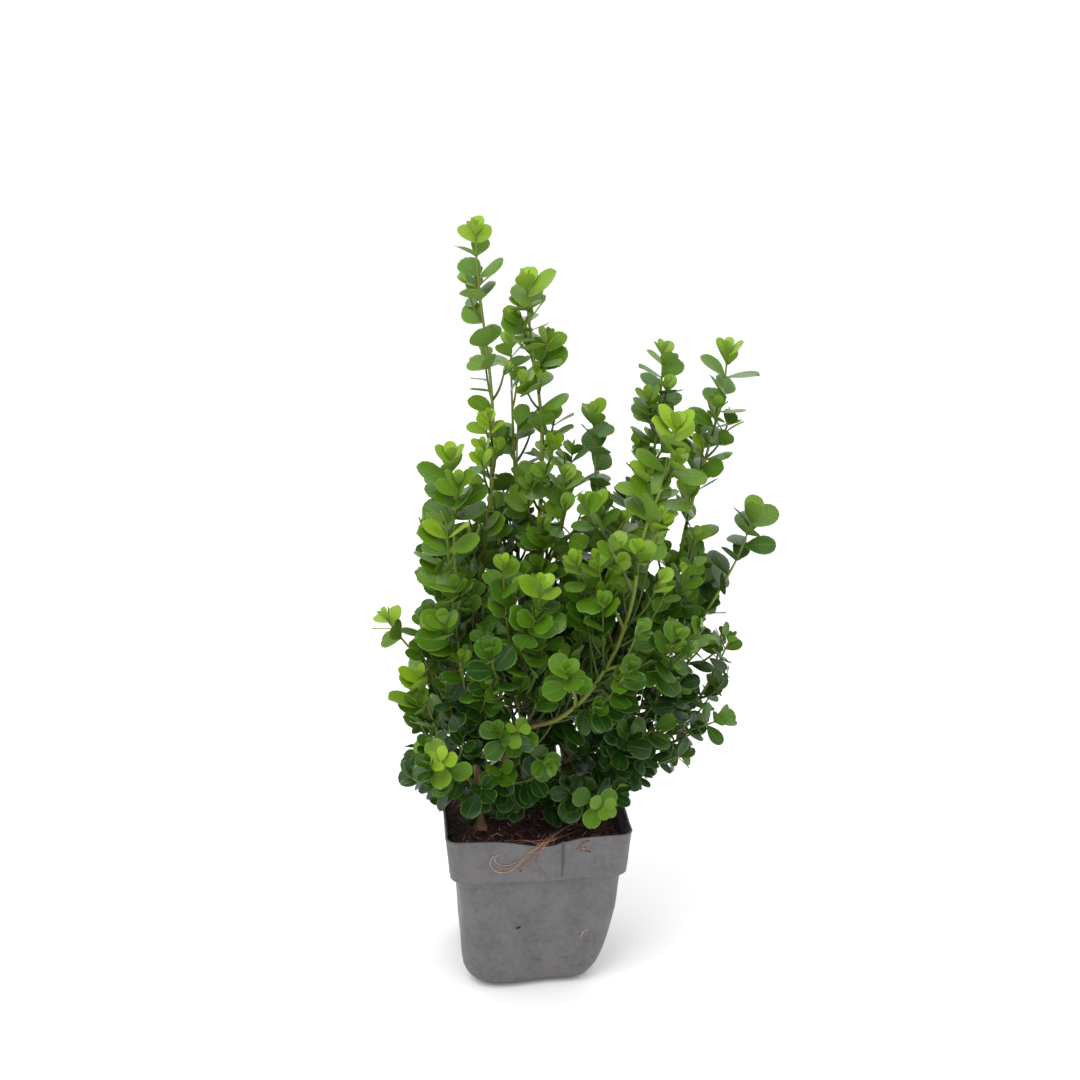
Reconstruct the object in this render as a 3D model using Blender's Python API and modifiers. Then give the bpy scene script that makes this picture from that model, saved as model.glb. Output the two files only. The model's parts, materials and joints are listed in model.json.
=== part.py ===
"""Young boxwood in a square nursery pot: a soft pot with a stepped band under its rim, the soil,
four woody stems, their boughs, and leafy shoots that all grow by one seeded rule.
Metres, +Z up. The origin is the middle of the pot's flat underside, and the front faces -Y."""

import math
import random
from collections import namedtuple
from itertools import combinations_with_replacement

import bmesh
import bpy
import numpy as np
from mathutils import Matrix, Quaternion, Vector
from mathutils.bvhtree import BVHTree
from mathutils.geometry import interpolate_bezier

UP = Vector((0, 0, 1))
GAP = 0.0003  # between neighbouring pieces

# Pot: half widths at each height, its corners round in plan
POT_HEIGHT = 0.107
RIM_HALF, BAND_HALF = 0.0557, 0.0533
BODY_TOP_HALF, BODY_FOOT_HALF = 0.0498, 0.0445
BAND_HEIGHT, STEP_HEIGHT = 0.0290, 0.0020
FOOT_ROUND, FOOT_ROUND_STEPS = 0.015, 3
RIM_CORNER, FOOT_CORNER, CORNER_STEPS = 0.008, 0.018, 4
WALL = 0.0009
DRAIN_RADIUS, DRAIN_PLACE, DRAIN_SIDES, DRAIN_CUT = 0.004, 0.023, 12, 0.008

# Soil: its top below the rim, and the low shoulder it slopes down to along the wall
SOIL_BELOW_RIM, SOIL_SLOPE_DROP, SOIL_SLOPE_RUN = 0.0125, 0.003, 0.010
SOIL_TOP = POT_HEIGHT - SOIL_BELOW_RIM

# Limbs: sides of their section, points along them, and how they leave a parent
LIMB_SIDES, LIMB_POINTS = 6, 6
SECTION_MEAN = 0.93  # a flat-sided section's mean radius against its corners'
FORK_ANGLE = math.radians(42)
HANDLE = 0.36  # length of a curve's handles, as a share of its span
FLARE, FLARE_HEIGHT = 1.9, 0.007  # a stem's foot against its girth, and how high that reaches

Stem = namedtuple("Stem", "foot fork thick thin")
Limb = namedtuple("Limb", "parent at end rise thick thin")
Shoot = namedtuple("Shoot", "parent at tip rise twigs reach step leaf colour")

STEMS = {
    "stem_left": Stem((-0.033, -0.012), (-0.038, -0.017, 0.168), 0.0023, 0.0017),
    "stem_middle": Stem((-0.009, 0.004), (-0.003, 0.002, 0.185), 0.0024, 0.0017),
    "stem_right": Stem((0.014, -0.004), (0.036, -0.006, 0.172), 0.0024, 0.0017),
    "stem_back": Stem((0.003, 0.022), (0.001, 0.035, 0.180), 0.0022, 0.0016),
}

# Boughs: the limb that carries them, how far along it (1 is its tip), where they end,
# how far they have turned upright there, and their radius at foot and tip
BOUGHS = {
    "bough_left_tall": Limb("stem_left", 1.0, (-0.022, 0.003, 0.333), 0.8, 0.0016, 0.0012),
    "bough_left_front": Limb("stem_left", 0.74, (-0.045, -0.030, 0.222), 0.7, 0.0014, 0.0011),
    "bough_left_low": Limb("stem_left", 0.36, (-0.053, -0.044, 0.158), 0.2, 0.0014, 0.0011),
    "bough_middle_tall": Limb("stem_middle", 1.0, (0.006, -0.004, 0.332), 0.9, 0.0016, 0.0012),
    "bough_front": Limb("stem_middle", 0.66, (-0.015, -0.054, 0.206), 0.6, 0.0014, 0.0011),
    "bough_arch_foot": Limb("stem_left", 0.24, (0.000, -0.048, 0.177), -1.4, 0.0017, 0.0014),
    "bough_arch": Limb("bough_arch_foot", 1.0, (0.053, -0.063, 0.275), 0.9, 0.0014, 0.0011),
    "bough_right_tall": Limb("stem_right", 1.0, (0.066, 0.006, 0.262), 0.7, 0.0016, 0.0012),
    "bough_right_high": Limb("stem_right", 0.84, (0.088, -0.012, 0.270), 0.7, 0.0014, 0.0011),
    "bough_right_far": Limb("stem_right", 0.64, (0.092, -0.020, 0.212), 0.5, 0.0014, 0.0011),
    "bough_right_low": Limb("stem_right", 0.40, (0.082, -0.004, 0.150), 0.2, 0.0014, 0.0011),
    "bough_back_tall": Limb("stem_back", 1.0, (-0.005, 0.040, 0.268), 0.8, 0.0015, 0.0012),
    "bough_back_left": Limb("stem_back", 0.72, (-0.041, 0.046, 0.212), 0.6, 0.0014, 0.0011),
    "bough_back_right": Limb("stem_back", 0.50, (0.050, 0.050, 0.206), 0.6, 0.0014, 0.0011),
}

# Masses of foliage: what carries each shoot and how far along it, the tip of its last leaves,
# how upright it ends, its side twigs and their length, the space between its pairs of leaves,
# the size of its leaves against the usual one, and their colour
SHOOT_ROWS = {
    "left_tall": ("bough_left_tall", 1.0, (-0.031, 0.003, 0.468), 0.9, 2, 0.022, 0.0185, 0.95, "mid"),
    "left_inner": ("bough_left_tall", 0.42, (-0.006, 0.016, 0.352), 0.8, 2, 0.034, 0.015, 1.0, "dark"),
    "left_light": ("bough_left_front", 1.0, (-0.048, -0.025, 0.343), 0.8, 2, 0.026, 0.014, 1.15, "light"),
    "left_mid": ("bough_left_front", 0.62, (-0.052, -0.042, 0.309), 0.8, 2, 0.024, 0.014, 1.15, "light"),
    "left_under": ("bough_left_front", 0.30, (-0.046, -0.062, 0.236), 0.6, 2, 0.032, 0.013, 0.85, "mid"),
    "left_twig": ("bough_left_front", 0.48, (-0.093, -0.008, 0.242), 0.2, 2, 0.022, 0.014, 0.85, "light"),
    "left_bright": ("bough_left_low", 1.0, (-0.070, -0.045, 0.218), 0.5, 2, 0.018, 0.013, 1.1, "light"),
    "left_rosette": ("bough_left_low", 0.66, (-0.061, -0.083, 0.178), 0.3, 2, 0.026, 0.013, 1.0, "light"),
    "left_dark": ("bough_left_low", 0.36, (-0.063, -0.044, 0.150), 0.0, 2, 0.028, 0.013, 0.9, "dark"),
    "middle_tall": ("bough_middle_tall", 1.0, (-0.003, -0.004, 0.438), 0.9, 3, 0.024, 0.015, 1.05, "mid"),
    "middle_side": ("bough_middle_tall", 0.46, (0.019, -0.012, 0.327), 0.6, 4, 0.030, 0.015, 1.0, "mid"),
    "front_left": ("bough_front", 0.55, (-0.022, -0.060, 0.290), 0.8, 3, 0.030, 0.014, 1.0, "light"),
    "front": ("bough_front", 1.0, (-0.002, -0.078, 0.284), 0.8, 3, 0.030, 0.015, 1.05, "light"),
    "front_rosette": ("bough_front", 0.30, (-0.016, -0.082, 0.194), 0.4, 3, 0.030, 0.012, 0.85, "mid"),
    "front_pair": ("bough_arch", 0.24, (0.009, -0.088, 0.236), 0.5, 2, 0.026, 0.014, 1.0, "light"),
    "front_low": ("bough_arch_foot", 0.62, (0.007, -0.083, 0.164), 0.1, 4, 0.034, 0.012, 0.85, "mid"),
    "front_foot": ("stem_middle", 0.20, (-0.026, -0.066, 0.162), 0.2, 4, 0.032, 0.012, 0.8, "dark"),
    "arch_tip": ("bough_arch", 1.0, (0.077, -0.047, 0.363), 0.8, 3, 0.024, 0.014, 1.1, "light"),
    "arch_left": ("bough_arch", 0.70, (0.030, -0.064, 0.292), 0.8, 3, 0.028, 0.014, 1.0, "mid"),
    "arch_right": ("bough_arch", 0.48, (0.080, -0.070, 0.240), 0.5, 4, 0.034, 0.013, 0.9, "mid"),
    "arch_back": ("bough_arch", 0.88, (0.034, -0.034, 0.318), 0.9, 2, 0.028, 0.014, 0.95, "mid"),
    "right_tall": ("bough_right_tall", 1.0, (0.078, 0.007, 0.396), 0.9, 3, 0.022, 0.014, 1.0, "mid"),
    "right_small": ("bough_right_tall", 0.60, (0.037, 0.006, 0.361), 0.9, 2, 0.019, 0.014, 1.1, "mid"),
    "right_high": ("bough_right_high", 1.0, (0.112, -0.012, 0.399), 0.9, 3, 0.022, 0.014, 1.05, "mid"),
    "right_inner": ("bough_right_high", 0.34, (0.084, -0.042, 0.276), 0.8, 4, 0.032, 0.014, 0.95, "mid"),
    "right_far": ("bough_right_far", 1.0, (0.130, -0.019, 0.299), 0.5, 2, 0.022, 0.014, 1.05, "dark"),
    "right_edge": ("bough_right_far", 0.55, (0.102, -0.039, 0.229), 0.3, 3, 0.030, 0.012, 0.75, "dark"),
    "right_side": ("bough_right_low", 1.0, (0.126, -0.004, 0.220), 0.3, 3, 0.028, 0.012, 0.72, "mid"),
    "right_low": ("bough_right_low", 0.62, (0.120, -0.030, 0.171), 0.1, 3, 0.028, 0.012, 0.7, "dark"),
    "right_hanging": ("bough_right_low", 0.36, (0.105, 0.002, 0.129), 0.0, 3, 0.026, 0.012, 0.65, "dark"),
    "right_foot": ("stem_right", 0.22, (0.041, -0.066, 0.129), 0.1, 3, 0.028, 0.013, 0.95, "light"),
    "right_front": ("stem_right", 0.50, (0.074, -0.052, 0.180), 0.3, 4, 0.032, 0.012, 0.8, "dark"),
    "back_tall": ("bough_back_tall", 1.0, (-0.008, 0.042, 0.396), 0.9, 3, 0.034, 0.015, 1.05, "mid"),
    "back_inner": ("bough_back_tall", 0.50, (0.030, 0.042, 0.330), 0.8, 2, 0.036, 0.015, 1.05, "mid"),
    "back_left": ("bough_back_left", 1.0, (-0.052, 0.054, 0.312), 0.7, 3, 0.034, 0.015, 1.05, "mid"),
    "back_edge": ("bough_back_left", 0.48, (-0.062, 0.042, 0.226), 0.3, 3, 0.032, 0.014, 1.05, "mid"),
    "back_right": ("bough_back_right", 1.0, (0.080, 0.058, 0.320), 0.7, 3, 0.036, 0.015, 1.05, "mid"),
    "back_side": ("bough_back_right", 0.62, (0.102, 0.056, 0.218), 0.3, 2, 0.034, 0.014, 1.05, "dark"),
    "back_low": ("bough_back_right", 0.32, (0.030, 0.090, 0.192), 0.3, 3, 0.036, 0.014, 1.05, "mid"),
    "back_foot": ("bough_back_left", 0.32, (-0.042, 0.084, 0.176), 0.2, 3, 0.036, 0.014, 1.05, "dark"),
}
SHOOTS = {"foliage_" + name: Shoot(*row) for name, row in SHOOT_ROWS.items()}

# Twigs
TWIG_SIDES, TWIG_SPACING = 3, 0.028  # sides of their section, space between their points
SHOOT_THICK, TWIG_THICK, TWIG_THIN = 0.0012, 0.0010, 0.0007
TWIG_ANGLE, TWIG_RISE = math.radians(48), 0.45
TWIG_FIRST, TWIG_LAST = 0.12, 0.72  # where the side twigs leave a shoot
TWIG_APART = 0.009  # between a twig and another mass's wood

# Leaves: length, width over length, height of the ridge, places of the outline's shoulders
LEAF_LENGTH, LEAF_ASPECT, LEAF_RIDGE = 0.0255, 0.76, 0.0015
LEAF_SPARING = 2.2  # space between the pairs against the real plant's, whose leaves are smaller
SHOULDERS = ((0.34, 0.47), (0.80, 0.41))  # share of the length, share of the width
BLADE_FROM = 0.28  # share of the length at which the blade is clear of the leaf opposite
LEAF_SUNK = 0.00015  # how far a leaf's root goes past the middle of its twig
TIP_LEAVES, TIP_SPACE = 0.011, 0.012  # how far the last leaves pass the wood, and their spacing
TIP_ANGLE, OLD_ANGLE = math.radians(34), math.radians(62)
OLD_AFTER = 0.045  # leaves this far below the tip stand at OLD_ANGLE and have their full size
YOUNG_SIZE = 0.6
LEAF_TRIES = (1, 0.8)  # a leaf with no room at full size is tried smaller, then left out
ANGLE_SPREAD, TURN_SPREAD, ROLL_SPREAD = math.radians(8), math.radians(10), math.radians(13)
LIGHT_PULL = 0.45  # how far a leaf's face turns up from its twig's tip
BARE_FOOT = 0.010  # of each shoot and twig
LEAF_APART, LIMB_APART = 0.0006, 0.0008  # nearer its own mass by this; off the limbs
BLADE_APART = 0.0018  # between a blade and the twigs of its own mass
LOWEST_LEAF = POT_HEIGHT + 0.003

COLOURS = {
    "pot": ((112, 110, 112), 0.55),
    "soil": ((44, 28, 20), 0.95),
    "bark": ((150, 122, 84), 0.8),
    "green_wood": ((142, 150, 70), 0.6),
    "light": ((134, 178, 36), 0.45),
    "mid": ((74, 124, 40), 0.4),
    "dark": ((42, 86, 42), 0.35),
}


def clear_scene():
    for thing in list(bpy.data.objects):
        bpy.data.objects.remove(thing, do_unlink=True)


def new_collection(name):
    group = bpy.data.collections.new(name)
    bpy.context.scene.collection.children.link(group)
    return group


def linear(channel):
    """The linear value of an sRGB channel from 0 to 255."""
    share = channel / 255
    return share / 12.92 if share <= 0.04045 else ((share + 0.055) / 1.055) ** 2.4


def material(name):
    """One Principled material for each colour, made once."""
    found = bpy.data.materials.get(name)
    if found:
        return found
    srgb, roughness = COLOURS[name]
    made = bpy.data.materials.new(name)
    made.use_nodes = True
    shader = made.node_tree.nodes["Principled BSDF"]
    shader.inputs["Base Color"].default_value = (*(linear(c) for c in srgb), 1)
    shader.inputs["Roughness"].default_value = roughness
    shader.inputs["Metallic"].default_value = 0
    return made


def add_object(name, mesh, group, colour=None):
    thing = bpy.data.objects.new(name, mesh)
    group.objects.link(thing)
    if colour:
        mesh.materials.clear()
        mesh.materials.append(material(colour))
    return thing


def applied(thing, name, colour, group):
    """The evaluated mesh of an object as a new plain object, with the old one removed."""
    graph = bpy.context.evaluated_depsgraph_get()
    mesh = bpy.data.meshes.new_from_object(thing.evaluated_get(graph))
    made = add_object(name, mesh, group, colour)
    made.matrix_world = thing.matrix_world
    bpy.data.objects.remove(thing, do_unlink=True)
    return made


# The pot and its soil


def pot_profile():
    """Half width, corner radius and height of the pot's outside, from its underside to its rim."""
    profile = []
    for step in range(FOOT_ROUND_STEPS + 1):
        turn = math.radians(90) * step / FOOT_ROUND_STEPS
        drawn_in = FOOT_ROUND * (1 - math.sin(turn))
        height = FOOT_ROUND * (1 - math.cos(turn))
        profile.append((BODY_FOOT_HALF - drawn_in, corner_at(height) - drawn_in, height))
    band_foot = POT_HEIGHT - BAND_HEIGHT
    for half, height in (
        (BODY_TOP_HALF, band_foot - STEP_HEIGHT),
        (BAND_HALF, band_foot),
        (RIM_HALF, POT_HEIGHT),
    ):
        profile.append((half, corner_at(height), height))
    return profile


def corner_at(height):
    """The radius in plan of the wall's corners, which widens towards the foot."""
    return FOOT_CORNER + (RIM_CORNER - FOOT_CORNER) * height / POT_HEIGHT


def inset(profile, depth):
    """The profile moved in by depth, square to its own surface."""
    moved = []
    for i, (half, corner, height) in enumerate(profile):
        before, after = profile[max(i - 1, 0)], profile[min(i + 1, len(profile) - 1)]
        edges = [(half - before[0], height - before[2]), (after[0] - half, after[2] - height)]
        if i == 0:
            edges[0] = (1, 0)  # the flat underside
        if i == len(profile) - 1:
            edges[1] = edges[0]
        normals = [(-rise / math.hypot(run, rise), run / math.hypot(run, rise)) for run, rise in edges]
        mid = (normals[0][0] + normals[1][0], normals[0][1] + normals[1][1])
        scale = 2 * depth / (mid[0] ** 2 + mid[1] ** 2)
        moved.append((half + mid[0] * scale, corner + mid[0] * scale, height + mid[1] * scale))
    return moved


def square_ring(bm, half, corner, height):
    """A closed loop of edges: a square of the given half width with round corners."""
    verts = []
    for quarter in range(4):
        for step in range(CORNER_STEPS + 1):
            turn = math.radians(90) * (quarter + step / CORNER_STEPS)
            middle = Vector((half - corner, half - corner, height))
            middle.rotate(Matrix.Rotation(math.radians(90) * quarter, 3, "Z"))
            out = Vector((math.cos(turn), math.sin(turn), 0))
            verts.append(bm.verts.new(middle + out * corner))
    return [bm.edges.new((verts[i - 1], verts[i])) for i in range(len(verts))]


def lofted(profile, closed_top):
    """A mesh through the profile's rings, closed below and, where asked, above."""
    bm = bmesh.new()
    rings = [square_ring(bm, *level) for level in profile]
    for low, high in zip(rings, rings[1:]):
        bmesh.ops.bridge_loops(bm, edges=low + high)
    for ring in [rings[0]] + [rings[-1]] * closed_top:
        bmesh.ops.contextual_create(bm, geom=ring)
    bmesh.ops.recalc_face_normals(bm, faces=bm.faces)
    mesh = bpy.data.meshes.new("loft")
    bm.to_mesh(mesh)
    bm.free()
    return mesh


def make_pot(group, cutters):
    """A soft shell open above, with four drain holes in its base."""
    mesh = lofted(pot_profile(), closed_top=False)
    outward = (face.area * face.normal.dot(face.center - UP * POT_HEIGHT / 2) for face in mesh.polygons)
    if sum(outward) < 0:
        mesh.flip_normals()
    pot = add_object("pot", mesh, group, "pot")
    wall = pot.modifiers.new("wall", "SOLIDIFY")
    wall.thickness, wall.offset, wall.use_even_offset = WALL, -1, True
    for i, (across, along) in enumerate(((-1, -1), (1, -1), (1, 1), (-1, 1))):
        bm = bmesh.new()
        round_bar = {"segments": DRAIN_SIDES, "radius1": DRAIN_RADIUS, "radius2": DRAIN_RADIUS}
        bmesh.ops.create_cone(bm, cap_ends=True, depth=DRAIN_CUT, **round_bar)
        cutter = bpy.data.meshes.new("drain")
        bm.to_mesh(cutter)
        bm.free()
        drain = add_object(f"drain_{i + 1}", cutter, cutters)
        drain.location = (across * DRAIN_PLACE, along * DRAIN_PLACE, 0)
        drain.hide_render, drain.display_type = True, "WIRE"
    hole = pot.modifiers.new("drains", "BOOLEAN")
    hole.operation, hole.solver = "DIFFERENCE", "EXACT"
    hole.operand_type, hole.collection = "COLLECTION", cutters


def make_soil(group):
    """Soil that fills the pot, its top flat with a low slope down to the wall."""
    level = [ring for ring in inset(pot_profile(), WALL + GAP) if ring[2] < SOIL_TOP - SOIL_SLOPE_DROP]
    below, above = inset(pot_profile(), WALL + GAP)[-2:]
    share = (SOIL_TOP - SOIL_SLOPE_DROP - below[2]) / (above[2] - below[2])
    edge = tuple(a + (b - a) * share for a, b in zip(below, above))
    crown = (edge[0] - SOIL_SLOPE_RUN, edge[1], SOIL_TOP)
    return add_object("soil", lofted(level + [edge, crown], closed_top=True), group, "soil")


# Paths of the limbs and twigs


class Wood:
    """The path of a limb or twig, with its radius from foot to tip."""

    def __init__(self, path, thick, thin, flare=1.0):
        self.path, self.thick, self.thin, self.flare = path, thick, thin, flare
        steps = [(b - a).length for a, b in zip(path, path[1:])]
        self.along = np.concatenate([[0], np.cumsum(steps)])
        self.length = float(self.along[-1])

    def radius(self, distance):
        swell = (self.flare - 1) * max(0, 1 - distance / FLARE_HEIGHT) ** 2
        return self.thick + (self.thin - self.thick) * distance / self.length + self.thick * swell

    def place(self, distance):
        """The point and the direction of the path at a distance from its foot."""
        i = min(max(int(np.searchsorted(self.along, distance)) - 1, 0), len(self.path) - 2)
        run = self.path[i + 1] - self.path[i]
        return self.path[i] + run.normalized() * (distance - self.along[i]), run.normalized()

    def dots(self, space=0.002):
        """Points along the path, and their radii, for measuring how near something comes."""
        distances = np.linspace(0, self.length, max(int(self.length / space), 2))
        points = np.array([self.place(distance)[0] for distance in distances])
        return points, np.array([self.radius(distance) for distance in distances])


def sweep(start, heading, end, rise, points):
    """A smooth path that leaves start along heading and has turned upright by rise at its end."""
    finish = (end - start).normalized().lerp(UP, rise).normalized()
    reach = (end - start).length * HANDLE
    return interpolate_bezier(start, start + heading * reach, end - finish * reach, end, points)


def leave(parent, share, aim, radius, angle=FORK_ANGLE):
    """Where a limb of the given radius starts, and its heading, clear of its parent by GAP."""
    point, direction = parent.place(parent.length * share)
    if share == 1:
        return point + direction * GAP, direction
    out = aim - point
    out = (out - direction * out.dot(direction)).normalized()
    heading = direction * math.cos(angle) + out * math.sin(angle)
    clear = (parent.radius(parent.length * share) + radius * math.cos(angle)) * SECTION_MEAN + GAP
    return point + heading * clear / math.sin(angle), heading


def stem_path(stem):
    """Straight up out of a flat cut on the soil, then leaning to the fork."""
    foot = Vector((*stem.foot, SOIL_TOP + GAP))
    neck = foot + UP * FLARE_HEIGHT / 2
    return [foot, foot + UP * FLARE_HEIGHT / 6] + sweep(neck, UP, Vector(stem.fork), 0.2, LIMB_POINTS)


def grow_limbs():
    """The paths of all stems and boughs, by name."""
    limbs = {name: Wood(stem_path(s), s.thick, s.thin, FLARE) for name, s in STEMS.items()}
    for name, bough in BOUGHS.items():
        end = Vector(bough.end)
        start, heading = leave(limbs[bough.parent], bough.at, end, bough.thick)
        limbs[name] = Wood(sweep(start, heading, end, bough.rise, LIMB_POINTS), bough.thick, bough.thin)
    return limbs


def twig_path(start, heading, end, rise):
    points = max(round((end - start).length / TWIG_SPACING), 1) + 1
    return sweep(start, heading, end, rise, points)


def grow_leaders(limbs):
    """The main twig of each mass, from its limb to just short of its last leaves."""
    leaders = {}
    for name, shoot in SHOOTS.items():
        tip = Vector(shoot.tip)
        start, heading = leave(limbs[shoot.parent], shoot.at, tip, SHOOT_THICK)
        ahead = (tip - start).normalized().lerp(UP, shoot.rise).normalized()
        end = tip - ahead * TIP_LEAVES
        leaders[name] = Wood(twig_path(start, heading, end, shoot.rise), SHOOT_THICK, TWIG_THIN)
    return leaders


# Space: each mass keeps what is nearer its own wood than any other mass's


class Space:
    """All the wood so far, to tell how near a point is to a mass, to the others and to the limbs."""

    def __init__(self, limbs):
        dots = [limb.dots() for limb in limbs.values()]
        self.limbs = np.concatenate([points for points, _ in dots])
        self.girths = np.concatenate([radii for _, radii in dots])
        self.points, self.owners = np.empty((0, 3)), np.empty(0, dtype=object)

    def add(self, name, wood):
        points = wood.dots()[0]
        self.points = np.concatenate([self.points, points])
        self.owners = np.concatenate([self.owners, np.full(len(points), name, dtype=object)])

    def off_limbs(self, points):
        """The least distance from the points to a limb's surface."""
        apart = np.linalg.norm(points[:, None] - self.limbs[None], axis=2) - self.girths[None]
        return float(apart.min())

    def off_others(self, name, points):
        """Each point's distance to the nearest wood of another mass."""
        others = self.points[self.owners != name]
        return np.linalg.norm(points[:, None] - others[None], axis=2).min(axis=1)

    def off_own(self, name, points):
        own = self.points[self.owners == name]
        return np.linalg.norm(points[:, None] - own[None], axis=2).min(axis=1)


def grow_twigs(name, leader, space, rng):
    """Side twigs of one mass: they leave its leader by turns and rise, and keep off other wood."""
    shoot, twigs = SHOOTS[name], []
    for i in range(shoot.twigs):
        share = TWIG_FIRST + (TWIG_LAST - TWIG_FIRST) * (i + rng.uniform(0.2, 0.8)) / shoot.twigs
        turn = math.radians(137.5) * i + rng.uniform(-0.5, 0.5) + rng_start(name)
        length = shoot.reach * rng.uniform(0.8, 1.2)
        foot, direction = leader.place(leader.length * share)
        out = Quaternion(direction, turn) @ side_of(direction)
        heading = direction * math.cos(TWIG_ANGLE) + out * math.sin(TWIG_ANGLE)
        end = foot + (heading * (1 - TWIG_RISE) + UP * TWIG_RISE).normalized() * length
        twig = Wood(twig_path(foot, heading, end, TWIG_RISE), TWIG_THICK, TWIG_THIN)
        dots = twig.dots()[0][2:]
        clear = space.off_others(name, dots).min() > TWIG_APART and space.off_limbs(dots) > TWIG_APART / 3
        if clear and dots[:, 2].min() > LOWEST_LEAF:
            twigs.append(twig)
            space.add(name, twig)
    return twigs


def rng_start(name):
    """The turn at which a mass's first twig and first pair of leaves stand."""
    return random.Random(name + " turn").uniform(0, math.tau)


def side_of(direction):
    """A level direction square to a twig, or nearly level where the twig is upright."""
    side = direction.cross(UP)
    if side.length < 0.2:
        side = direction.cross(Vector((0, 1, 0)))
    return side.normalized()


# Leaves


def leaf_frame(point, direction, turn, age, rng):
    """The matrix of a leaf: X along it, Z out of its upper face."""
    angle = TIP_ANGLE + (OLD_ANGLE - TIP_ANGLE) * age + rng.gauss(0, ANGLE_SPREAD)
    out = Quaternion(direction, turn + rng.gauss(0, TURN_SPREAD)) @ side_of(direction)
    along = direction * math.cos(angle) + out * math.sin(angle)
    face = direction + UP * LIGHT_PULL
    face = (face - along * face.dot(along)).normalized()
    face = Quaternion(along, rng.gauss(0, ROLL_SPREAD)) @ face
    frame = Matrix((along, face.cross(along), face)).transposed().to_4x4()
    frame.translation = point
    return frame


def leaf_corners(frame, length):
    """Six corners in world space: root and tip on the ridge, two shoulders a side below it."""
    width, ridge = length * LEAF_ASPECT, LEAF_RIDGE * length / LEAF_LENGTH
    corners = [Vector((-LEAF_SUNK, 0, 0)), Vector((length, 0, 0))]
    for side in (-1, 1):
        corners += [Vector((length * x, side * width * y, -ridge)) for x, y in SHOULDERS]
    return [frame @ corner for corner in corners]


def nodes_of(wood, step):
    """Distances along a twig at which its pairs of leaves stand, from the tip down."""
    distance, space = wood.length - TIP_SPACE / 4, TIP_SPACE
    while distance > BARE_FOOT:
        yield distance
        distance -= space
        space = min(space * 1.6, step)


def grow_leaves(name, woods, space, rng):
    """The corners of each leaf of one mass that stays in the mass's own space and crosses no other."""
    shoot, leaves, shapes = SHOOTS[name], [], []
    for wood in woods:
        for i, distance in enumerate(nodes_of(wood, shoot.step * LEAF_SPARING)):
            point, direction = wood.place(distance)
            age = min((wood.length - distance) / OLD_AFTER, 1)
            size = LEAF_LENGTH * shoot.leaf * (YOUNG_SIZE + (1 - YOUNG_SIZE) * age)
            for half in (0, 1):
                turn = rng_start(name) + math.radians(90) * i + math.pi * half
                frame = leaf_frame(point, direction, turn, age, rng)
                length = size * rng.uniform(0.88, 1.08)
                for share in LEAF_TRIES:
                    corners = leaf_corners(frame, length * share)
                    shape = blade_shape(corners)
                    if keeps_to(name, corners, space) and not any(shape.overlap(other) for other in shapes):
                        leaves.append(corners)
                        shapes.append(shape)
                        break
    return leaves


def blade_shape(corners):
    """A leaf's faces past its narrow root, to find where two leaves would cross."""
    root, tip = corners[:2]
    points = [root.lerp(tip, BLADE_FROM)] + list(corners[1:])
    return BVHTree.FromPolygons(points, [(0, 2, 3, 1), (0, 1, 5, 4), (2, 3, 5, 4), (0, 2, 4), (1, 3, 5)])


def keeps_to(name, corners, space):
    """Whether a leaf stays nearer its own mass than any other, off the limbs and above the pot."""
    spots = np.array([(a + b) / 2 for a, b in combinations_with_replacement(corners[1:], 2)])
    if spots[:, 2].min() < LOWEST_LEAF or space.off_limbs(spots) < LIMB_APART:
        return False
    own = space.off_own(name, spots)
    return bool(own.min() > BLADE_APART and (own + LEAF_APART < space.off_others(name, spots)).all())


# Solids


def tube(name, wood, sides, group, colour):
    """A tapering limb or twig with flat ends: a curve with a many-sided section, made a mesh."""
    section = bpy.data.curves.new("section", "CURVE")
    ring = section.splines.new("POLY")
    ring.points.add(sides - 1)
    for i, point in enumerate(ring.points):
        turn = math.tau * i / sides
        point.co = (math.cos(turn), math.sin(turn), 0, 1)
    ring.use_cyclic_u = True
    outline = bpy.data.objects.new("section", section)
    group.objects.link(outline)
    curve = bpy.data.curves.new("limb", "CURVE")
    curve.dimensions = "3D"
    spline = curve.splines.new("POLY")
    spline.points.add(len(wood.path) - 1)
    for point, place, distance in zip(spline.points, wood.path, wood.along):
        point.co, point.radius = (*place, 1), wood.radius(distance)
    curve.bevel_mode, curve.bevel_object, curve.use_fill_caps = "OBJECT", outline, True
    made = applied(add_object("limb", curve, group), name, colour, group)
    bpy.data.objects.remove(outline, do_unlink=True)
    bm = bmesh.new()
    bm.from_mesh(made.data)
    bmesh.ops.remove_doubles(bm, verts=bm.verts, dist=GAP / 30)
    bmesh.ops.recalc_face_normals(bm, faces=bm.faces)
    bm.to_mesh(made.data)
    bm.free()
    return made


def leaf_solid(corners, group):
    """A thin eight-sided hull: a ridge from root to tip over a flat six-sided outline."""
    bm = bmesh.new()
    verts = [bm.verts.new(corner) for corner in corners]
    bmesh.ops.convex_hull(bm, input=verts)
    bmesh.ops.recalc_face_normals(bm, faces=bm.faces)
    mesh = bpy.data.meshes.new("leaf")
    bm.to_mesh(mesh)
    bm.free()
    return add_object("leaf", mesh, group)


def keep_largest_shell(mesh):
    """Drops scraps and sealed hollows, so that one closed skin is left."""
    bm = bmesh.new()
    bm.from_mesh(mesh)
    left, shells = set(bm.verts), []
    while left:
        front = [left.pop()]
        shell = set(front)
        while front:
            vert = front.pop()
            near = {edge.other_vert(vert) for edge in vert.link_edges} - shell
            shell |= near
            front += near
        left -= shell
        shells.append(shell)
    largest = max(shells, key=len)
    scraps = [vert for shell in shells if shell is not largest for vert in shell]
    bmesh.ops.delete(bm, geom=scraps, context="VERTS")
    bm.to_mesh(mesh)
    bm.free()


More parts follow.
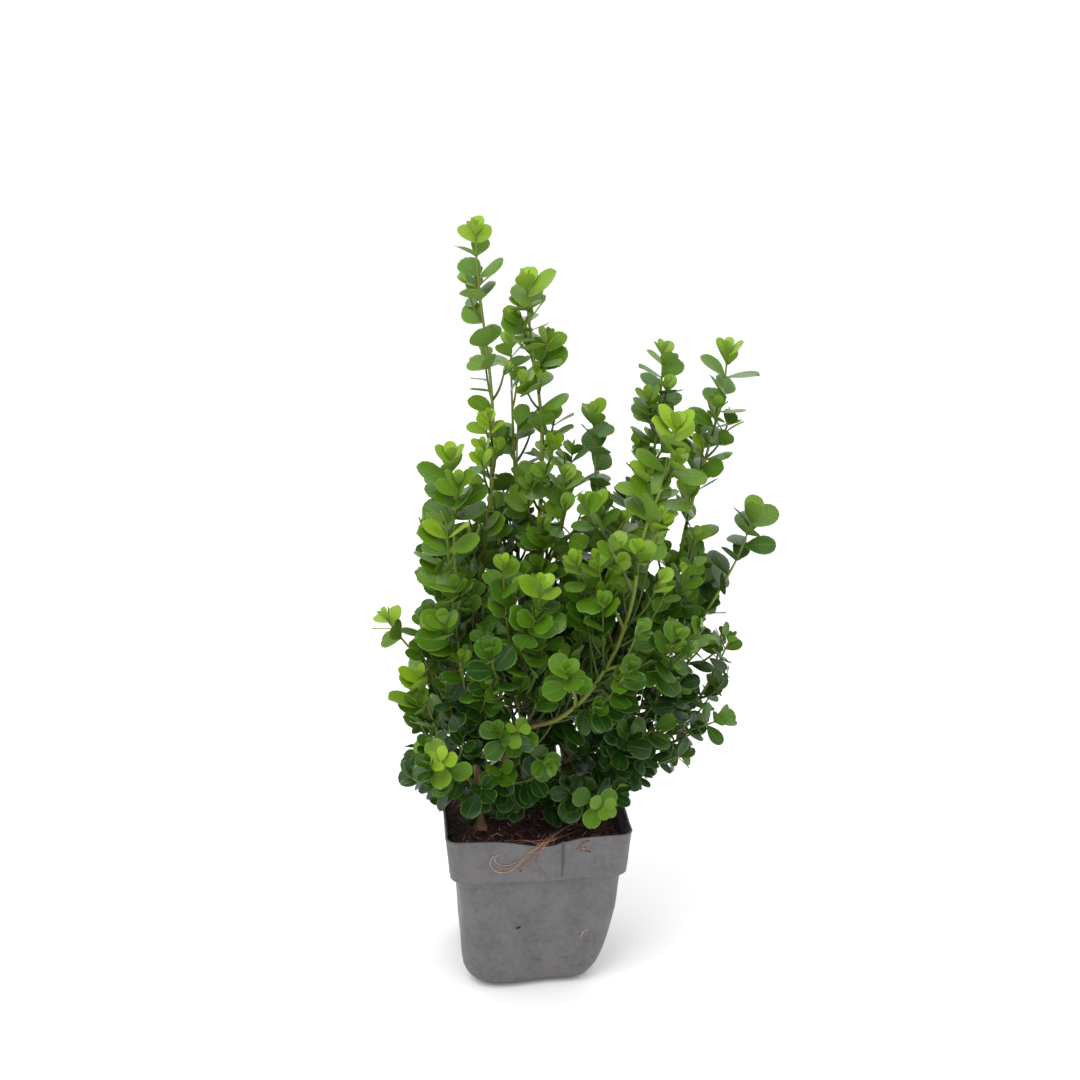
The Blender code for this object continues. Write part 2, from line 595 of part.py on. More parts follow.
def make_mass(name, woods, leaves, group):
    """One body of a leader, its side twigs and its leaves, joined."""
    parts = new_collection("parts of " + name)
    colour = SHOOTS[name].colour
    leader = tube("leader", woods[0], TWIG_SIDES, group, colour)
    for wood in woods[1:]:
        tube("twig", wood, TWIG_SIDES, parts, colour)
    for corners in leaves:
        leaf_solid(corners, parts)
    join = leader.modifiers.new("join", "BOOLEAN")
    join.operation, join.solver = "UNION", "EXACT"
    join.operand_type, join.collection = "COLLECTION", parts
    mass = applied(leader, name, colour, group)
    for part in list(parts.objects):
        bpy.data.objects.remove(part, do_unlink=True)
    bpy.data.collections.remove(parts)
    keep_largest_shell(mass.data)
    return mass


def make_plant(group):
    limbs = grow_limbs()
    for name, limb in limbs.items():
        made = tube(name, limb, LIMB_SIDES, group, "bark" if name in STEMS else "green_wood")
        made.data.shade_smooth()
        made.data.set_sharp_from_angle(angle=math.radians(60))
    leaders, space = grow_leaders(limbs), Space(limbs)
    for name, leader in leaders.items():
        space.add(name, leader)
    draws = {name: random.Random(name) for name in SHOOTS}
    woods = {}
    for name, leader in leaders.items():
        woods[name] = [leader] + grow_twigs(name, leader, space, draws[name])
    for name in SHOOTS:
        leaves = grow_leaves(name, woods[name], space, draws[name])
        make_mass(name, woods[name], leaves, group)


def main():
    clear_scene()
    parts = new_collection("potted_boxwood")
    cutters = new_collection("cutters")
    make_plant(parts)
    make_soil(parts)
    make_pot(parts, cutters)


main()
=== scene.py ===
"""Looks of a young boxwood in a soft square nursery pot: its limbs, twigs and leaves grow on by the
rule of the solids, carried to finer twigs. Metres, +Z up, front to -Y, as in the frame."""

import json
import math
import random
from collections import namedtuple
from functools import lru_cache

import bmesh
import bpy
import numpy as np
from mathutils import Matrix, Quaternion, Vector, noise
from mathutils.bvhtree import BVHTree
from mathutils.geometry import interpolate_bezier
from mathutils.kdtree import KDTree

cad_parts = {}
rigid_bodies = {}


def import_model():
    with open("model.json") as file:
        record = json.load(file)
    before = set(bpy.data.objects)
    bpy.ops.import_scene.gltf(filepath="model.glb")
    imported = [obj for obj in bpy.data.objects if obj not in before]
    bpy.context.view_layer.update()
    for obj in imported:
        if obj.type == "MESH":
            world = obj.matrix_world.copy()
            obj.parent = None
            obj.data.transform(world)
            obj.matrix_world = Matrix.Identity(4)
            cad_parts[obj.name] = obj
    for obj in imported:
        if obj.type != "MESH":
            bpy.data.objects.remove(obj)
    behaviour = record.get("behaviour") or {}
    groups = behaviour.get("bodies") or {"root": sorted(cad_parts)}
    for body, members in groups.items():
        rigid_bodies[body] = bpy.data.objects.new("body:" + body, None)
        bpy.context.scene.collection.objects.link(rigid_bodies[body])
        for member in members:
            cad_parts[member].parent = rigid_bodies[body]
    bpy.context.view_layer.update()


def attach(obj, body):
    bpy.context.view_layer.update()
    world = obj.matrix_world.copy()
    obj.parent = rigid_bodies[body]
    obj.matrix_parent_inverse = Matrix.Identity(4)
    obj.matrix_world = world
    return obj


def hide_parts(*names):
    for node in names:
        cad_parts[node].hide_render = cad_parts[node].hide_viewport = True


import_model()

bl_info = {
    "name": "Potted boxwood",
    "version": (1, 0, 0),
    "blender": (4, 5, 0),
    "location": "3D View > Sidebar > Boxwood",
    "description": "Grows a young boxwood in a square nursery pot",
    "category": "Object",
}

UP = Vector((0, 0, 1))
BODY = "root"

# Pot and soil, as in the solids
POT_HEIGHT = 0.107
RIM_HALF, BAND_HALF = 0.0557, 0.0533
BODY_TOP_HALF, BODY_FOOT_HALF = 0.0498, 0.0445
BAND_HEIGHT, STEP_HEIGHT = 0.0290, 0.0020
FOOT_ROUND, FOOT_ROUND_STEPS = 0.015, 6
RIM_CORNER, FOOT_CORNER, CORNER_STEPS, SIDE_STEPS = 0.008, 0.018, 8, 22
WALL, LIP = 0.0009, 0.0014
CREASE, CREASE_WIDE = 0.0130, 0.0008  # a crease in the band, and half its width
DRAIN_RADIUS, DRAIN_PLACE = 0.004, 0.023
SOIL_BELOW_RIM, SOIL_SLOPE_DROP = 0.0125, 0.003
SOIL_TOP = POT_HEIGHT - SOIL_BELOW_RIM

# Columns of the pot's sides, from edge to edge, with more of them at the crease
CREASE_SHARE = CREASE / (BAND_HALF - RIM_CORNER)
SIDE_SHARES = sorted(
    [2 * step / SIDE_STEPS - 1 for step in range(SIDE_STEPS)]
    + [CREASE_SHARE + CREASE_WIDE / BAND_HALF * step for step in (-2.2, -1.1, -0.5, 0, 0.5, 1.1, 2.2)]
)

# Loose roots: corners of their paths, radius, and tone from dark to pale
ROOTS = (
    (((0.018, -0.022, 0.0965), (0.012, -0.036, 0.1010), (0.004, -0.0545, 0.1052), (-0.003, -0.0558, 0.1018),
      (-0.008, -0.055, 0.0985), (-0.011, -0.055, 0.0940), (-0.014, -0.055, 0.0905), (-0.0185, -0.055, 0.0866),
      (-0.0246, -0.055, 0.0860), (-0.0290, -0.055, 0.0890), (-0.0305, -0.055, 0.0935), (-0.0285, -0.055, 0.0975)),
     0.00046, 0.90),
    (((0.021, -0.020, 0.0965), (0.010, -0.040, 0.1020), (0.001, -0.0548, 0.1050), (-0.006, -0.0558, 0.1000),
      (-0.009, -0.055, 0.0955), (-0.0132, -0.055, 0.0915), (-0.0170, -0.055, 0.0893), (-0.0225, -0.055, 0.0885),
      (-0.0265, -0.055, 0.0905)),
     0.00038, 0.84),
    (((0.006, -0.030, 0.0975), (0.002, -0.045, 0.1025), (-0.002, -0.0550, 0.1040), (-0.0045, -0.055, 0.0965),
      (-0.0060, -0.055, 0.0935), (-0.0100, -0.055, 0.0905), (-0.0128, -0.055, 0.0872)),
     0.00040, 0.78),
    (((0.014, -0.026, 0.0970), (0.006, -0.042, 0.1020), (0.001, -0.0552, 0.1040), (-0.0022, -0.055, 0.0960),
      (-0.0028, -0.055, 0.0905), (0.0010, -0.055, 0.0850), (0.0032, -0.055, 0.0818)),
     0.00030, 0.72),
    (((0.024, -0.030, 0.0975), (0.012, -0.048, 0.1035), (0.000, -0.0535, 0.1045), (-0.012, -0.0520, 0.1050),
      (-0.017, -0.046, 0.1010)),
     0.00049, 0.65),
    (((0.020, -0.034, 0.0980), (0.008, -0.050, 0.1040), (-0.004, -0.0530, 0.1045), (-0.014, -0.0490, 0.1020)),
     0.00038, 0.76),
    (((0.026, -0.016, 0.0960), (0.019, -0.028, 0.1000), (0.010, -0.044, 0.1030), (0.003, -0.0560, 0.1035),
      (-0.001, -0.055, 0.0990), (-0.0055, -0.055, 0.0985)),
     0.00040, 0.86),
    (((0.032, -0.048, 0.1040), (0.027, -0.0560, 0.1045), (0.0225, -0.055, 0.1010), (0.0262, -0.055, 0.0985)),
     0.00035, 0.70),
    (((0.010, -0.050, 0.1035), (-0.002, -0.0556, 0.1025), (-0.0080, -0.055, 0.0962), (-0.0150, -0.055, 0.0922),
      (-0.0215, -0.055, 0.0905), (-0.0262, -0.055, 0.0925), (-0.0278, -0.055, 0.0960), (-0.0250, -0.055, 0.0985)),
     0.00036, 0.92),
    (((0.004, -0.052, 0.1035), (-0.001, -0.0556, 0.1010), (-0.0060, -0.055, 0.0935), (-0.0115, -0.055, 0.0880),
      (-0.0190, -0.055, 0.0875), (-0.0255, -0.055, 0.0880)),
     0.00030, 0.84),
)
# Bits stuck to the pot's front: across, height, size, chip model, tone, turn in degrees
STUCK_BITS = (
    (-0.0132, 0.0872, 0.0030, 4, 0.02, 30), (-0.0120, 0.0862, 0.0024, 3, 0.05, 70),
    (-0.0133, 0.0434, 0.0048, 4, 0.0, 10), (-0.0120, 0.0442, 0.0030, 4, 0.0, 60),
    (0.0225, 0.1000, 0.0050, 1, 0.55, 20), (0.0255, 0.0992, 0.0034, 3, 0.75, -30), (0.0272, 0.0978, 0.0044, 1, 0.10, -15),
    (0.0240, 0.0980, 0.0038, 0, 0.40, 60), (0.0290, 0.0970, 0.0026, 3, 0.05, 0), (0.0262, 0.1004, 0.0022, 4, 0.5, 0),
    (0.0262, 0.0366, 0.0056, 1, 0.86, 66), (0.0288, 0.0390, 0.0038, 1, 0.84, 20),
)

# Limbs
LIMB_POINTS = 24
SECTION_MEAN, GAP = 0.93, 0.0003
FORK_ANGLE = math.radians(42)
HANDLE = 0.36
FLARE, FLARE_HEIGHT = 1.9, 0.007

Stem = namedtuple("Stem", "foot fork thick thin")
Limb = namedtuple("Limb", "parent at end rise thick thin")
Shoot = namedtuple("Shoot", "parent at tip rise twigs reach step leaf colour")

STEMS = {
    "stem_left": Stem((-0.033, -0.012), (-0.038, -0.017, 0.168), 0.0023, 0.0017),
    "stem_middle": Stem((-0.009, 0.004), (-0.003, 0.002, 0.185), 0.0024, 0.0017),
    "stem_right": Stem((0.014, -0.004), (0.036, -0.006, 0.172), 0.0024, 0.0017),
    "stem_back": Stem((0.003, 0.022), (0.001, 0.035, 0.180), 0.0022, 0.0016),
}

# Boughs: parent, how far along it, end, how upright they end, radius at foot and tip
BOUGHS = {
    "bough_left_tall": Limb("stem_left", 1.0, (-0.022, 0.003, 0.333), 0.8, 0.0016, 0.0012),
    "bough_left_front": Limb("stem_left", 0.74, (-0.045, -0.030, 0.222), 0.7, 0.0014, 0.0011),
    "bough_left_low": Limb("stem_left", 0.36, (-0.053, -0.044, 0.158), 0.2, 0.0014, 0.0011),
    "bough_middle_tall": Limb("stem_middle", 1.0, (0.006, -0.004, 0.332), 0.9, 0.0016, 0.0012),
    "bough_front": Limb("stem_middle", 0.66, (-0.015, -0.054, 0.206), 0.6, 0.0014, 0.0011),
    "bough_arch_foot": Limb("stem_left", 0.24, (0.000, -0.048, 0.177), -1.4, 0.0017, 0.0014),
    "bough_arch": Limb("bough_arch_foot", 1.0, (0.053, -0.063, 0.275), 0.9, 0.0014, 0.0011),
    "bough_right_tall": Limb("stem_right", 1.0, (0.066, 0.006, 0.262), 0.7, 0.0016, 0.0012),
    "bough_right_high": Limb("stem_right", 0.84, (0.088, -0.012, 0.270), 0.7, 0.0014, 0.0011),
    "bough_right_far": Limb("stem_right", 0.64, (0.092, -0.020, 0.212), 0.5, 0.0014, 0.0011),
    "bough_right_low": Limb("stem_right", 0.40, (0.082, -0.004, 0.150), 0.2, 0.0014, 0.0011),
    "bough_back_tall": Limb("stem_back", 1.0, (-0.005, 0.040, 0.268), 0.8, 0.0015, 0.0012),
    "bough_back_left": Limb("stem_back", 0.72, (-0.041, 0.046, 0.212), 0.6, 0.0014, 0.0011),
    "bough_back_right": Limb("stem_back", 0.50, (0.050, 0.050, 0.206), 0.6, 0.0014, 0.0011),
}

# Shoots: what carries each and how far along it, its last leaves' tip, how upright it ends, its
# side twigs and their length, space between its pairs of leaves, their size, and their colour
SHOOT_ROWS = {
    "left_tall": ("bough_left_tall", 1.0, (-0.031, 0.003, 0.468), 0.9, 2, 0.022, 0.0185, 0.95, "mid"),
    "left_inner": ("bough_left_tall", 0.42, (-0.006, 0.016, 0.352), 0.8, 2, 0.034, 0.015, 1.0, "dark"),
    "left_light": ("bough_left_front", 1.0, (-0.048, -0.025, 0.343), 0.8, 2, 0.026, 0.014, 1.15, "light"),
    "left_mid": ("bough_left_front", 0.62, (-0.052, -0.042, 0.309), 0.8, 2, 0.024, 0.014, 1.15, "light"),
    "left_under": ("bough_left_front", 0.30, (-0.046, -0.062, 0.236), 0.6, 2, 0.032, 0.013, 0.85, "mid"),
    "left_twig": ("bough_left_front", 0.48, (-0.093, -0.008, 0.242), 0.2, 2, 0.022, 0.014, 0.85, "light"),
    "left_bright": ("bough_left_low", 1.0, (-0.070, -0.045, 0.218), 0.5, 2, 0.018, 0.013, 1.1, "light"),
    "left_rosette": ("bough_left_low", 0.66, (-0.061, -0.083, 0.178), 0.3, 2, 0.026, 0.013, 1.0, "light"),
    "left_dark": ("bough_left_low", 0.36, (-0.063, -0.044, 0.150), 0.0, 2, 0.028, 0.013, 0.9, "dark"),
    "middle_tall": ("bough_middle_tall", 1.0, (-0.003, -0.004, 0.438), 0.9, 3, 0.024, 0.015, 1.05, "mid"),
    "middle_side": ("bough_middle_tall", 0.46, (0.019, -0.012, 0.327), 0.6, 4, 0.030, 0.015, 1.0, "mid"),
    "front_left": ("bough_front", 0.55, (-0.022, -0.060, 0.290), 0.8, 3, 0.030, 0.014, 1.0, "light"),
    "front": ("bough_front", 1.0, (-0.002, -0.078, 0.284), 0.8, 3, 0.030, 0.015, 1.05, "light"),
    "front_rosette": ("bough_front", 0.30, (-0.016, -0.082, 0.194), 0.4, 3, 0.030, 0.012, 0.85, "mid"),
    "front_pair": ("bough_arch", 0.24, (0.009, -0.088, 0.236), 0.5, 2, 0.026, 0.014, 1.0, "light"),
    "front_low": ("bough_arch_foot", 0.62, (0.007, -0.083, 0.164), 0.1, 4, 0.034, 0.012, 0.85, "mid"),
    "front_foot": ("stem_middle", 0.20, (-0.026, -0.066, 0.162), 0.2, 4, 0.032, 0.012, 0.8, "dark"),
    "arch_tip": ("bough_arch", 1.0, (0.077, -0.047, 0.363), 0.8, 3, 0.024, 0.014, 1.1, "light"),
    "arch_left": ("bough_arch", 0.70, (0.030, -0.064, 0.292), 0.8, 3, 0.028, 0.014, 1.0, "mid"),
    "arch_right": ("bough_arch", 0.48, (0.080, -0.070, 0.240), 0.5, 4, 0.034, 0.013, 0.9, "mid"),
    "arch_back": ("bough_arch", 0.88, (0.034, -0.034, 0.318), 0.9, 2, 0.028, 0.014, 0.95, "mid"),
    "right_tall": ("bough_right_tall", 1.0, (0.078, 0.007, 0.396), 0.9, 3, 0.022, 0.014, 1.0, "mid"),
    "right_small": ("bough_right_tall", 0.60, (0.037, 0.006, 0.361), 0.9, 2, 0.019, 0.014, 1.1, "mid"),
    "right_high": ("bough_right_high", 1.0, (0.112, -0.012, 0.399), 0.9, 3, 0.022, 0.014, 1.05, "mid"),
    "right_inner": ("bough_right_high", 0.34, (0.084, -0.042, 0.276), 0.8, 4, 0.032, 0.014, 0.95, "mid"),
    "right_far": ("bough_right_far", 1.0, (0.130, -0.019, 0.299), 0.5, 2, 0.022, 0.014, 1.05, "dark"),
    "right_edge": ("bough_right_far", 0.55, (0.102, -0.039, 0.229), 0.3, 3, 0.030, 0.012, 0.75, "dark"),
    "right_side": ("bough_right_low", 1.0, (0.126, -0.004, 0.220), 0.3, 3, 0.028, 0.012, 0.72, "mid"),
    "right_low": ("bough_right_low", 0.62, (0.120, -0.030, 0.171), 0.1, 3, 0.028, 0.012, 0.7, "dark"),
    "right_hanging": ("bough_right_low", 0.36, (0.105, 0.002, 0.129), 0.0, 3, 0.026, 0.012, 0.65, "dark"),
    "right_foot": ("stem_right", 0.22, (0.041, -0.066, 0.129), 0.1, 3, 0.028, 0.013, 0.95, "light"),
    "right_front": ("stem_right", 0.50, (0.074, -0.052, 0.180), 0.3, 4, 0.032, 0.012, 0.8, "dark"),
    "back_tall": ("bough_back_tall", 1.0, (-0.008, 0.042, 0.396), 0.9, 3, 0.034, 0.015, 1.05, "mid"),
    "back_inner": ("bough_back_tall", 0.50, (0.030, 0.042, 0.330), 0.8, 2, 0.036, 0.015, 1.05, "mid"),
    "back_left": ("bough_back_left", 1.0, (-0.052, 0.054, 0.312), 0.7, 3, 0.034, 0.015, 1.05, "mid"),
    "back_edge": ("bough_back_left", 0.48, (-0.062, 0.042, 0.226), 0.3, 3, 0.032, 0.014, 1.05, "mid"),
    "back_right": ("bough_back_right", 1.0, (0.080, 0.058, 0.320), 0.7, 3, 0.036, 0.015, 1.05, "mid"),
    "back_side": ("bough_back_right", 0.62, (0.102, 0.056, 0.218), 0.3, 2, 0.034, 0.014, 1.05, "dark"),
    "back_low": ("bough_back_right", 0.32, (0.030, 0.090, 0.192), 0.3, 3, 0.036, 0.014, 1.05, "mid"),
    "back_foot": ("bough_back_left", 0.32, (-0.042, 0.084, 0.176), 0.2, 3, 0.036, 0.014, 1.05, "dark"),
}
SHOOTS = {"foliage_" + name: Shoot(*row) for name, row in SHOOT_ROWS.items()}

# Limbs with no foliage close before them: how far that reaches, to each side and forwards
OPEN_LIMBS, OPEN_WIDTH, OPEN_DEPTH = ("bough_arch",), 0.0030, 0.050
OPEN_TOWARDS = np.array((-0.10, -0.95, 0.29))
BARKS = {"bough_arch_foot": (0.8, 0.55), "bough_arch": (0.45, 0.1), "bough_left_tall": (0.5, 0.1)}  # foot to tip

# The crown as seen from the front, on the upright plane through the pot's axis: how far it goes to the
# left and right by height, and its open places by middle and half sizes
EYE = (-0.0890, -0.8957, 0.55)
CROWN_REACH = np.array((
    (0.087, -0.056, 0.066), (0.105, -0.062, 0.076), (0.118, -0.083, 0.078), (0.140, -0.084, 0.109),
    (0.156, -0.075, 0.112), (0.173, -0.083, 0.123), (0.189, -0.087, 0.123), (0.205, -0.077, 0.120),
    (0.222, -0.080, 0.126), (0.236, -0.068, 0.124), (0.252, -0.069, 0.121), (0.268, -0.071, 0.139),
    (0.298, -0.065, 0.145), (0.313, -0.066, 0.118), (0.328, -0.063, 0.121), (0.342, -0.038, 0.128),
    (0.400, -0.041, 0.128), (0.404, -0.041, 0.014), (0.480, -0.043, -0.010),
))
OPEN_PLACES = np.array((
    (0.053, 0.334, 0.0071, 0.0312), (0.044, 0.388, 0.0203, 0.0255), (0.096, 0.374, 0.0053, 0.0247),
    (0.024, 0.331, 0.0071, 0.0090), (0.024, 0.286, 0.0060, 0.0074), (-0.015, 0.354, 0.0075, 0.0077),
    (0.002, 0.359, 0.0052, 0.0053), (-0.019, 0.371, 0.0040, 0.0082), (-0.015, 0.388, 0.0052, 0.0069),
    (-0.020, 0.413, 0.0045, 0.0074), (-0.017, 0.321, 0.0041, 0.0072), (-0.006, 0.326, 0.0053, 0.0036),
    (-0.001, 0.338, 0.0047, 0.0054), (0.088, 0.276, 0.0049, 0.0069), (0.074, 0.255, 0.0037, 0.0057),
    (0.105, 0.193, 0.0050, 0.0092), (0.111, 0.219, 0.0056, 0.0052), (0.130, 0.239, 0.0124, 0.0193),
    (0.010, 0.266, 0.0042, 0.0031), (0.028, 0.360, 0.0058, 0.0100), (0.104, 0.296, 0.0052, 0.0100),
))
OPEN_SHARE = 0.6
FREE_TIP = 0.016  # a shoot's last leaves stay wherever they stand

FINE_SPACING = 0.004
SHOOT_THICK, TWIG_THICK, TWIG_THIN = 0.0012, 0.0009, 0.0005
TWIG_ANGLE, TWIG_RISE = math.radians(48), 0.45
TWIG_FIRST, TWIG_LAST = 0.12, 0.72
TWIG_APART = 0.009

# Finer twigs: space between them along a twig, their length, and where they stop below its tip
FINE_STEP, FINE_SHORT, FINE_LONG = 0.015, 0.013, 0.030
FINE_THICK, FINE_THIN = 0.0008, 0.0005
FINE_BELOW_TIP = 0.034
LIMB_BARE, LIMB_TWIG_STEP = 0.006, 0.0019
STEM_BARE = {"stem_left": 0.030}
LIMB_TWIG_SHORT, LIMB_TWIG_LONG, LIMB_TWIG_APART = 0.026, 0.060, 0.0027
DENSE_BELOW, SPARSE_ABOVE = 0.21, 0.05  # the height up to which they stand close, and where they thin out
FLAT_BELOW, FLAT_ANGLE, FLAT_RISE = 0.145, math.radians(82), 0.0  # near the soil they spread flatter
LEAST_PAIRS = 2  # twigs with fewer are dropped
MASS_REACH = 0.045  # how far from a mass's wood its own space goes
BARE_SHOOTS = {"foliage_left_tall": 0.6, "foliage_middle_tall": 0.75}  # share with finer twigs
STEP_SHARE = {"foliage_left_tall": 0.72, "foliage_middle_tall": 0.75}  # of the solids' leaf spacing
CLOSE_STEP = 0.70

# Leaves
LEAF_ASPECT = 0.70
TIP_LEAVES, TIP_SPACE, SPACE_GROWTH = 0.011, 0.0030, 1.55
YOUNG_PAIRS = ((0.38, 14), (0.56, 32), (0.72, 46), (0.86, 56))  # size and angle in degrees from the tip down
GROWN_PAIRS = ((0.80, 30), (0.94, 48))  # of shoots that have stopped growing
OPEN_PAIRS = ((0.50, 46), (0.60, 60), (0.78, 66), (0.90, 68))  # of rosettes that lie open
OPEN_TIPS = ("foliage_left_rosette", "foliage_right_foot", "foliage_front_rosette")
TIP_TURNS = {"foliage_left_twig": 45, "foliage_left_bright": 45}  # degrees by which a shoot's leaves are turned
OLD_ANGLE, OLD_AFTER = 62, 0.020
ANGLE_SPREAD, TURN_SPREAD, ROLL_SPREAD = math.radians(8), math.radians(10), math.radians(14)
LIGHT_PULL, SIDE_PULL = 0.42, 0.62  # how far a leaf's face turns up, and out of the crown
CROWN_MIDDLE, CROWN_SHAPE = Vector((0.015, 0.030, 0)), Vector((0.4, 1, 0))  # faces turn out of it
BARE_FOOT = 0.006
LIMB_APART = 0.0008
LOWEST_LEAF, LOWEST_INSIDE = POT_HEIGHT + 0.002, SOIL_TOP + 0.003  # outside the pot, and within its rim
LEAF_TRIES = ((1, 0), (1, 25), (0.9, -25), (0.88, 50), (0.88, -50), (0.74, 0))  # size, and turn in degrees
TONES = {"light": 0.67, "mid": 0.54, "dark": 0.38}
SHADE_BELOW, SHADE_DEEP = 0.26, 0.10  # twigs that start lower get painted shade: their leaves are darker
LEADER_SHADE = {"light": 0.0, "mid": 0.5, "dark": 0.8}  # share of that painted shade on the shoots themselves
# Shifts of tone by mass, mostly their own lighter or darker foliage; on the tallest masses, left_tall and middle_tall,
# the lift is painted light, for light through and round their top leaves
BRIGHTER = {
    "foliage_left_bright": 0.12, "foliage_left_rosette": -0.10, "foliage_left_light": -0.20, "foliage_front": -0.20,
    "foliage_front_left": -0.20, "foliage_arch_tip": 0.08, "foliage_left_twig": 0.08, "foliage_front_pair": -0.06,
    "foliage_right_foot": -0.46, "foliage_middle_tall": 0.14, "foliage_left_tall": 0.10, "foliage_left_mid": -0.12,
}
# Pieces of leaves: their colour, and whether they hold the masses behind, those in front, or both
LEAF_PIECES = {
    "leaves_light": ("light", None), "leaves_mid": ("mid", False), "leaves_mid_behind": ("mid", True),
    "leaves_dark": ("dark", None),
}
BIGGER_TIPS = {
    "foliage_middle_tall": 1.35, "foliage_left_bright": 1.3, "foliage_front_pair": 0.8, "foliage_left_light": 1.15,
    "foliage_left_twig": 1.2,
    "foliage_left_mid": 1.15, "foliage_arch_tip": 1.4,
}


# Nodes of shaders and geometry


class Wire:
    """The output of a node; maths on it adds Math nodes."""

    def __init__(self, tree, socket):
        self.tree, self.socket = tree, socket

    def maths(self, operation, *values):
        return add_node(self.tree, "ShaderNodeMath", {"operation": operation}, values)

    def __add__(self, other):
        return self.maths("ADD", self, other)

    def __sub__(self, other):
        return self.maths("SUBTRACT", self, other)

    def __rsub__(self, other):
        return self.maths("SUBTRACT", other, self)

    def __mul__(self, other):
        return self.maths("MULTIPLY", self, other)

    def __truediv__(self, other):
        return self.maths("DIVIDE", self, other)

    def __pow__(self, other):
        return self.maths("POWER", self, other)

    def __abs__(self):
        return self.maths("ABSOLUTE", self)

    __radd__, __rmul__ = __add__, __mul__

    def within(self, low, high):
        """0 below low, 1 above high, smooth between."""
        settings = {"interpolation_type": "SMOOTHSTEP"}
        values = {"Value": self, "From Min": low, "From Max": high}
        return add_node(self.tree, "ShaderNodeMapRange", settings, values)


def add_node(tree, kind, settings=None, values=(), out=0):
    """A node with its settings made first, then its sockets set or linked."""
    node = tree.nodes.new(kind)
    for key, value in (settings or {}).items():
        if key == "stops":
            ramp = node.color_ramp
            while len(ramp.elements) < len(value):
                ramp.elements.new(1)
            for element, (place, colour) in zip(ramp.elements, value):
                element.position, element.color = place, (*colour, 1)
        else:
            setattr(node, key, value)
    for key, value in values.items() if isinstance(values, dict) else enumerate(values):
        if isinstance(value, Wire):
            tree.links.new(value.socket, node.inputs[key])
        else:
            node.inputs[key].default_value = value
    return Wire(tree, node.outputs[out])


class Finish:
    """A Principled material and the few nodes that its patterns are made of."""

    def __init__(self, name, roughness=0.5):
        self.material = bpy.data.materials.new(name)
        self.material.use_nodes = True
        self.tree = self.material.node_tree
        self.shader = self.tree.nodes["Principled BSDF"]
        self.shader.inputs["Roughness"].default_value = roughness
        self.place = add_node(self.tree, "ShaderNodeTexCoord", out="Object")

    def node(self, kind, settings=None, values=(), out=0):
        return add_node(self.tree, kind, settings, values, out)

    def noise(self, scale, detail=3.0, stretch=None):
        place = self.place
        if stretch:
            place = self.node("ShaderNodeMapping", None, {"Vector": place, "Scale": stretch})
        return self.node("ShaderNodeTexNoise", None, {"Vector": place, "Scale": scale, "Detail": detail})

    def value(self, name):
        return self.node("ShaderNodeAttribute", {"attribute_name": name}, out="Fac")

    def ramp(self, factor, stops):
        return self.node("ShaderNodeValToRGB", {"stops": stops}, {"Fac": factor})

    def mix(self, factor, a, b, blend="MIX"):
        settings = {"data_type": "RGBA", "blend_type": blend}
        a, b = ((*c, 1) if isinstance(c, tuple) else c for c in (a, b))
        return self.node("ShaderNodeMix", settings, {0: factor, 6: a, 7: b}, out=2)

    def bump(self, height, distance, strength=1.0):
        values = {"Height": height, "Distance": distance, "Strength": strength}
        self.link("Normal", self.node("ShaderNodeBump", None, values))

    def link(self, socket, wire):
        self.tree.links.new(wire.socket, self.shader.inputs[socket])


def linear(red, green, blue):
    """Linear colour from sRGB 0 to 255."""
    shares = (red / 255, green / 255, blue / 255)
    return tuple(s / 12.92 if s <= 0.04045 else ((s + 0.055) / 1.055) ** 2.4 for s in shares)


# Paths of the limbs and twigs


class Wood:
    """The path of a limb or twig, with its radius from foot to tip."""

    def __init__(self, path, thick, thin, flare=1.0):
        self.path, self.thick, self.thin, self.flare = path, thick, thin, flare
        steps = [(b - a).length for a, b in zip(path, path[1:])]
        self.along = np.concatenate([[0], np.cumsum(steps)])
        self.length = float(self.along[-1])

    def radius(self, distance):
        swell = (self.flare - 1) * max(0, 1 - distance / FLARE_HEIGHT) ** 2
        return self.thick + (self.thin - self.thick) * distance / self.length + self.thick * swell

    def place(self, distance):
        """The point and the direction of the path at a distance from its foot."""
        i = min(max(int(np.searchsorted(self.along, distance)) - 1, 0), len(self.path) - 2)
        run = self.path[i + 1] - self.path[i]
        return self.path[i] + run.normalized() * (distance - self.along[i]), run.normalized()

    def dots(self, space=0.002):
        distances = np.linspace(0, self.length, max(int(self.length / space), 2))
        points = np.array([self.place(distance)[0] for distance in distances])
        return points, np.array([self.radius(distance) for distance in distances])


def sweep(start, heading, end, rise, points):
    """A smooth path that leaves start along heading and has turned upright by rise at its end."""
    finish = (end - start).normalized().lerp(UP, rise).normalized()
    reach = (end - start).length * HANDLE
    return interpolate_bezier(start, start + heading * reach, end - finish * reach, end, points)


def leave(parent, share, aim, radius):
    """Where a limb of the given radius starts, and its heading, clear of its parent."""
    point, direction = parent.place(parent.length * share)
    if share == 1:
        return point + direction * GAP, direction
    out = aim - point
    out = (out - direction * out.dot(direction)).normalized()
    heading = direction * math.cos(FORK_ANGLE) + out * math.sin(FORK_ANGLE)
    clear = (parent.radius(parent.length * share) + radius * math.cos(FORK_ANGLE)) * SECTION_MEAN + GAP
    return point + heading * clear / math.sin(FORK_ANGLE), heading


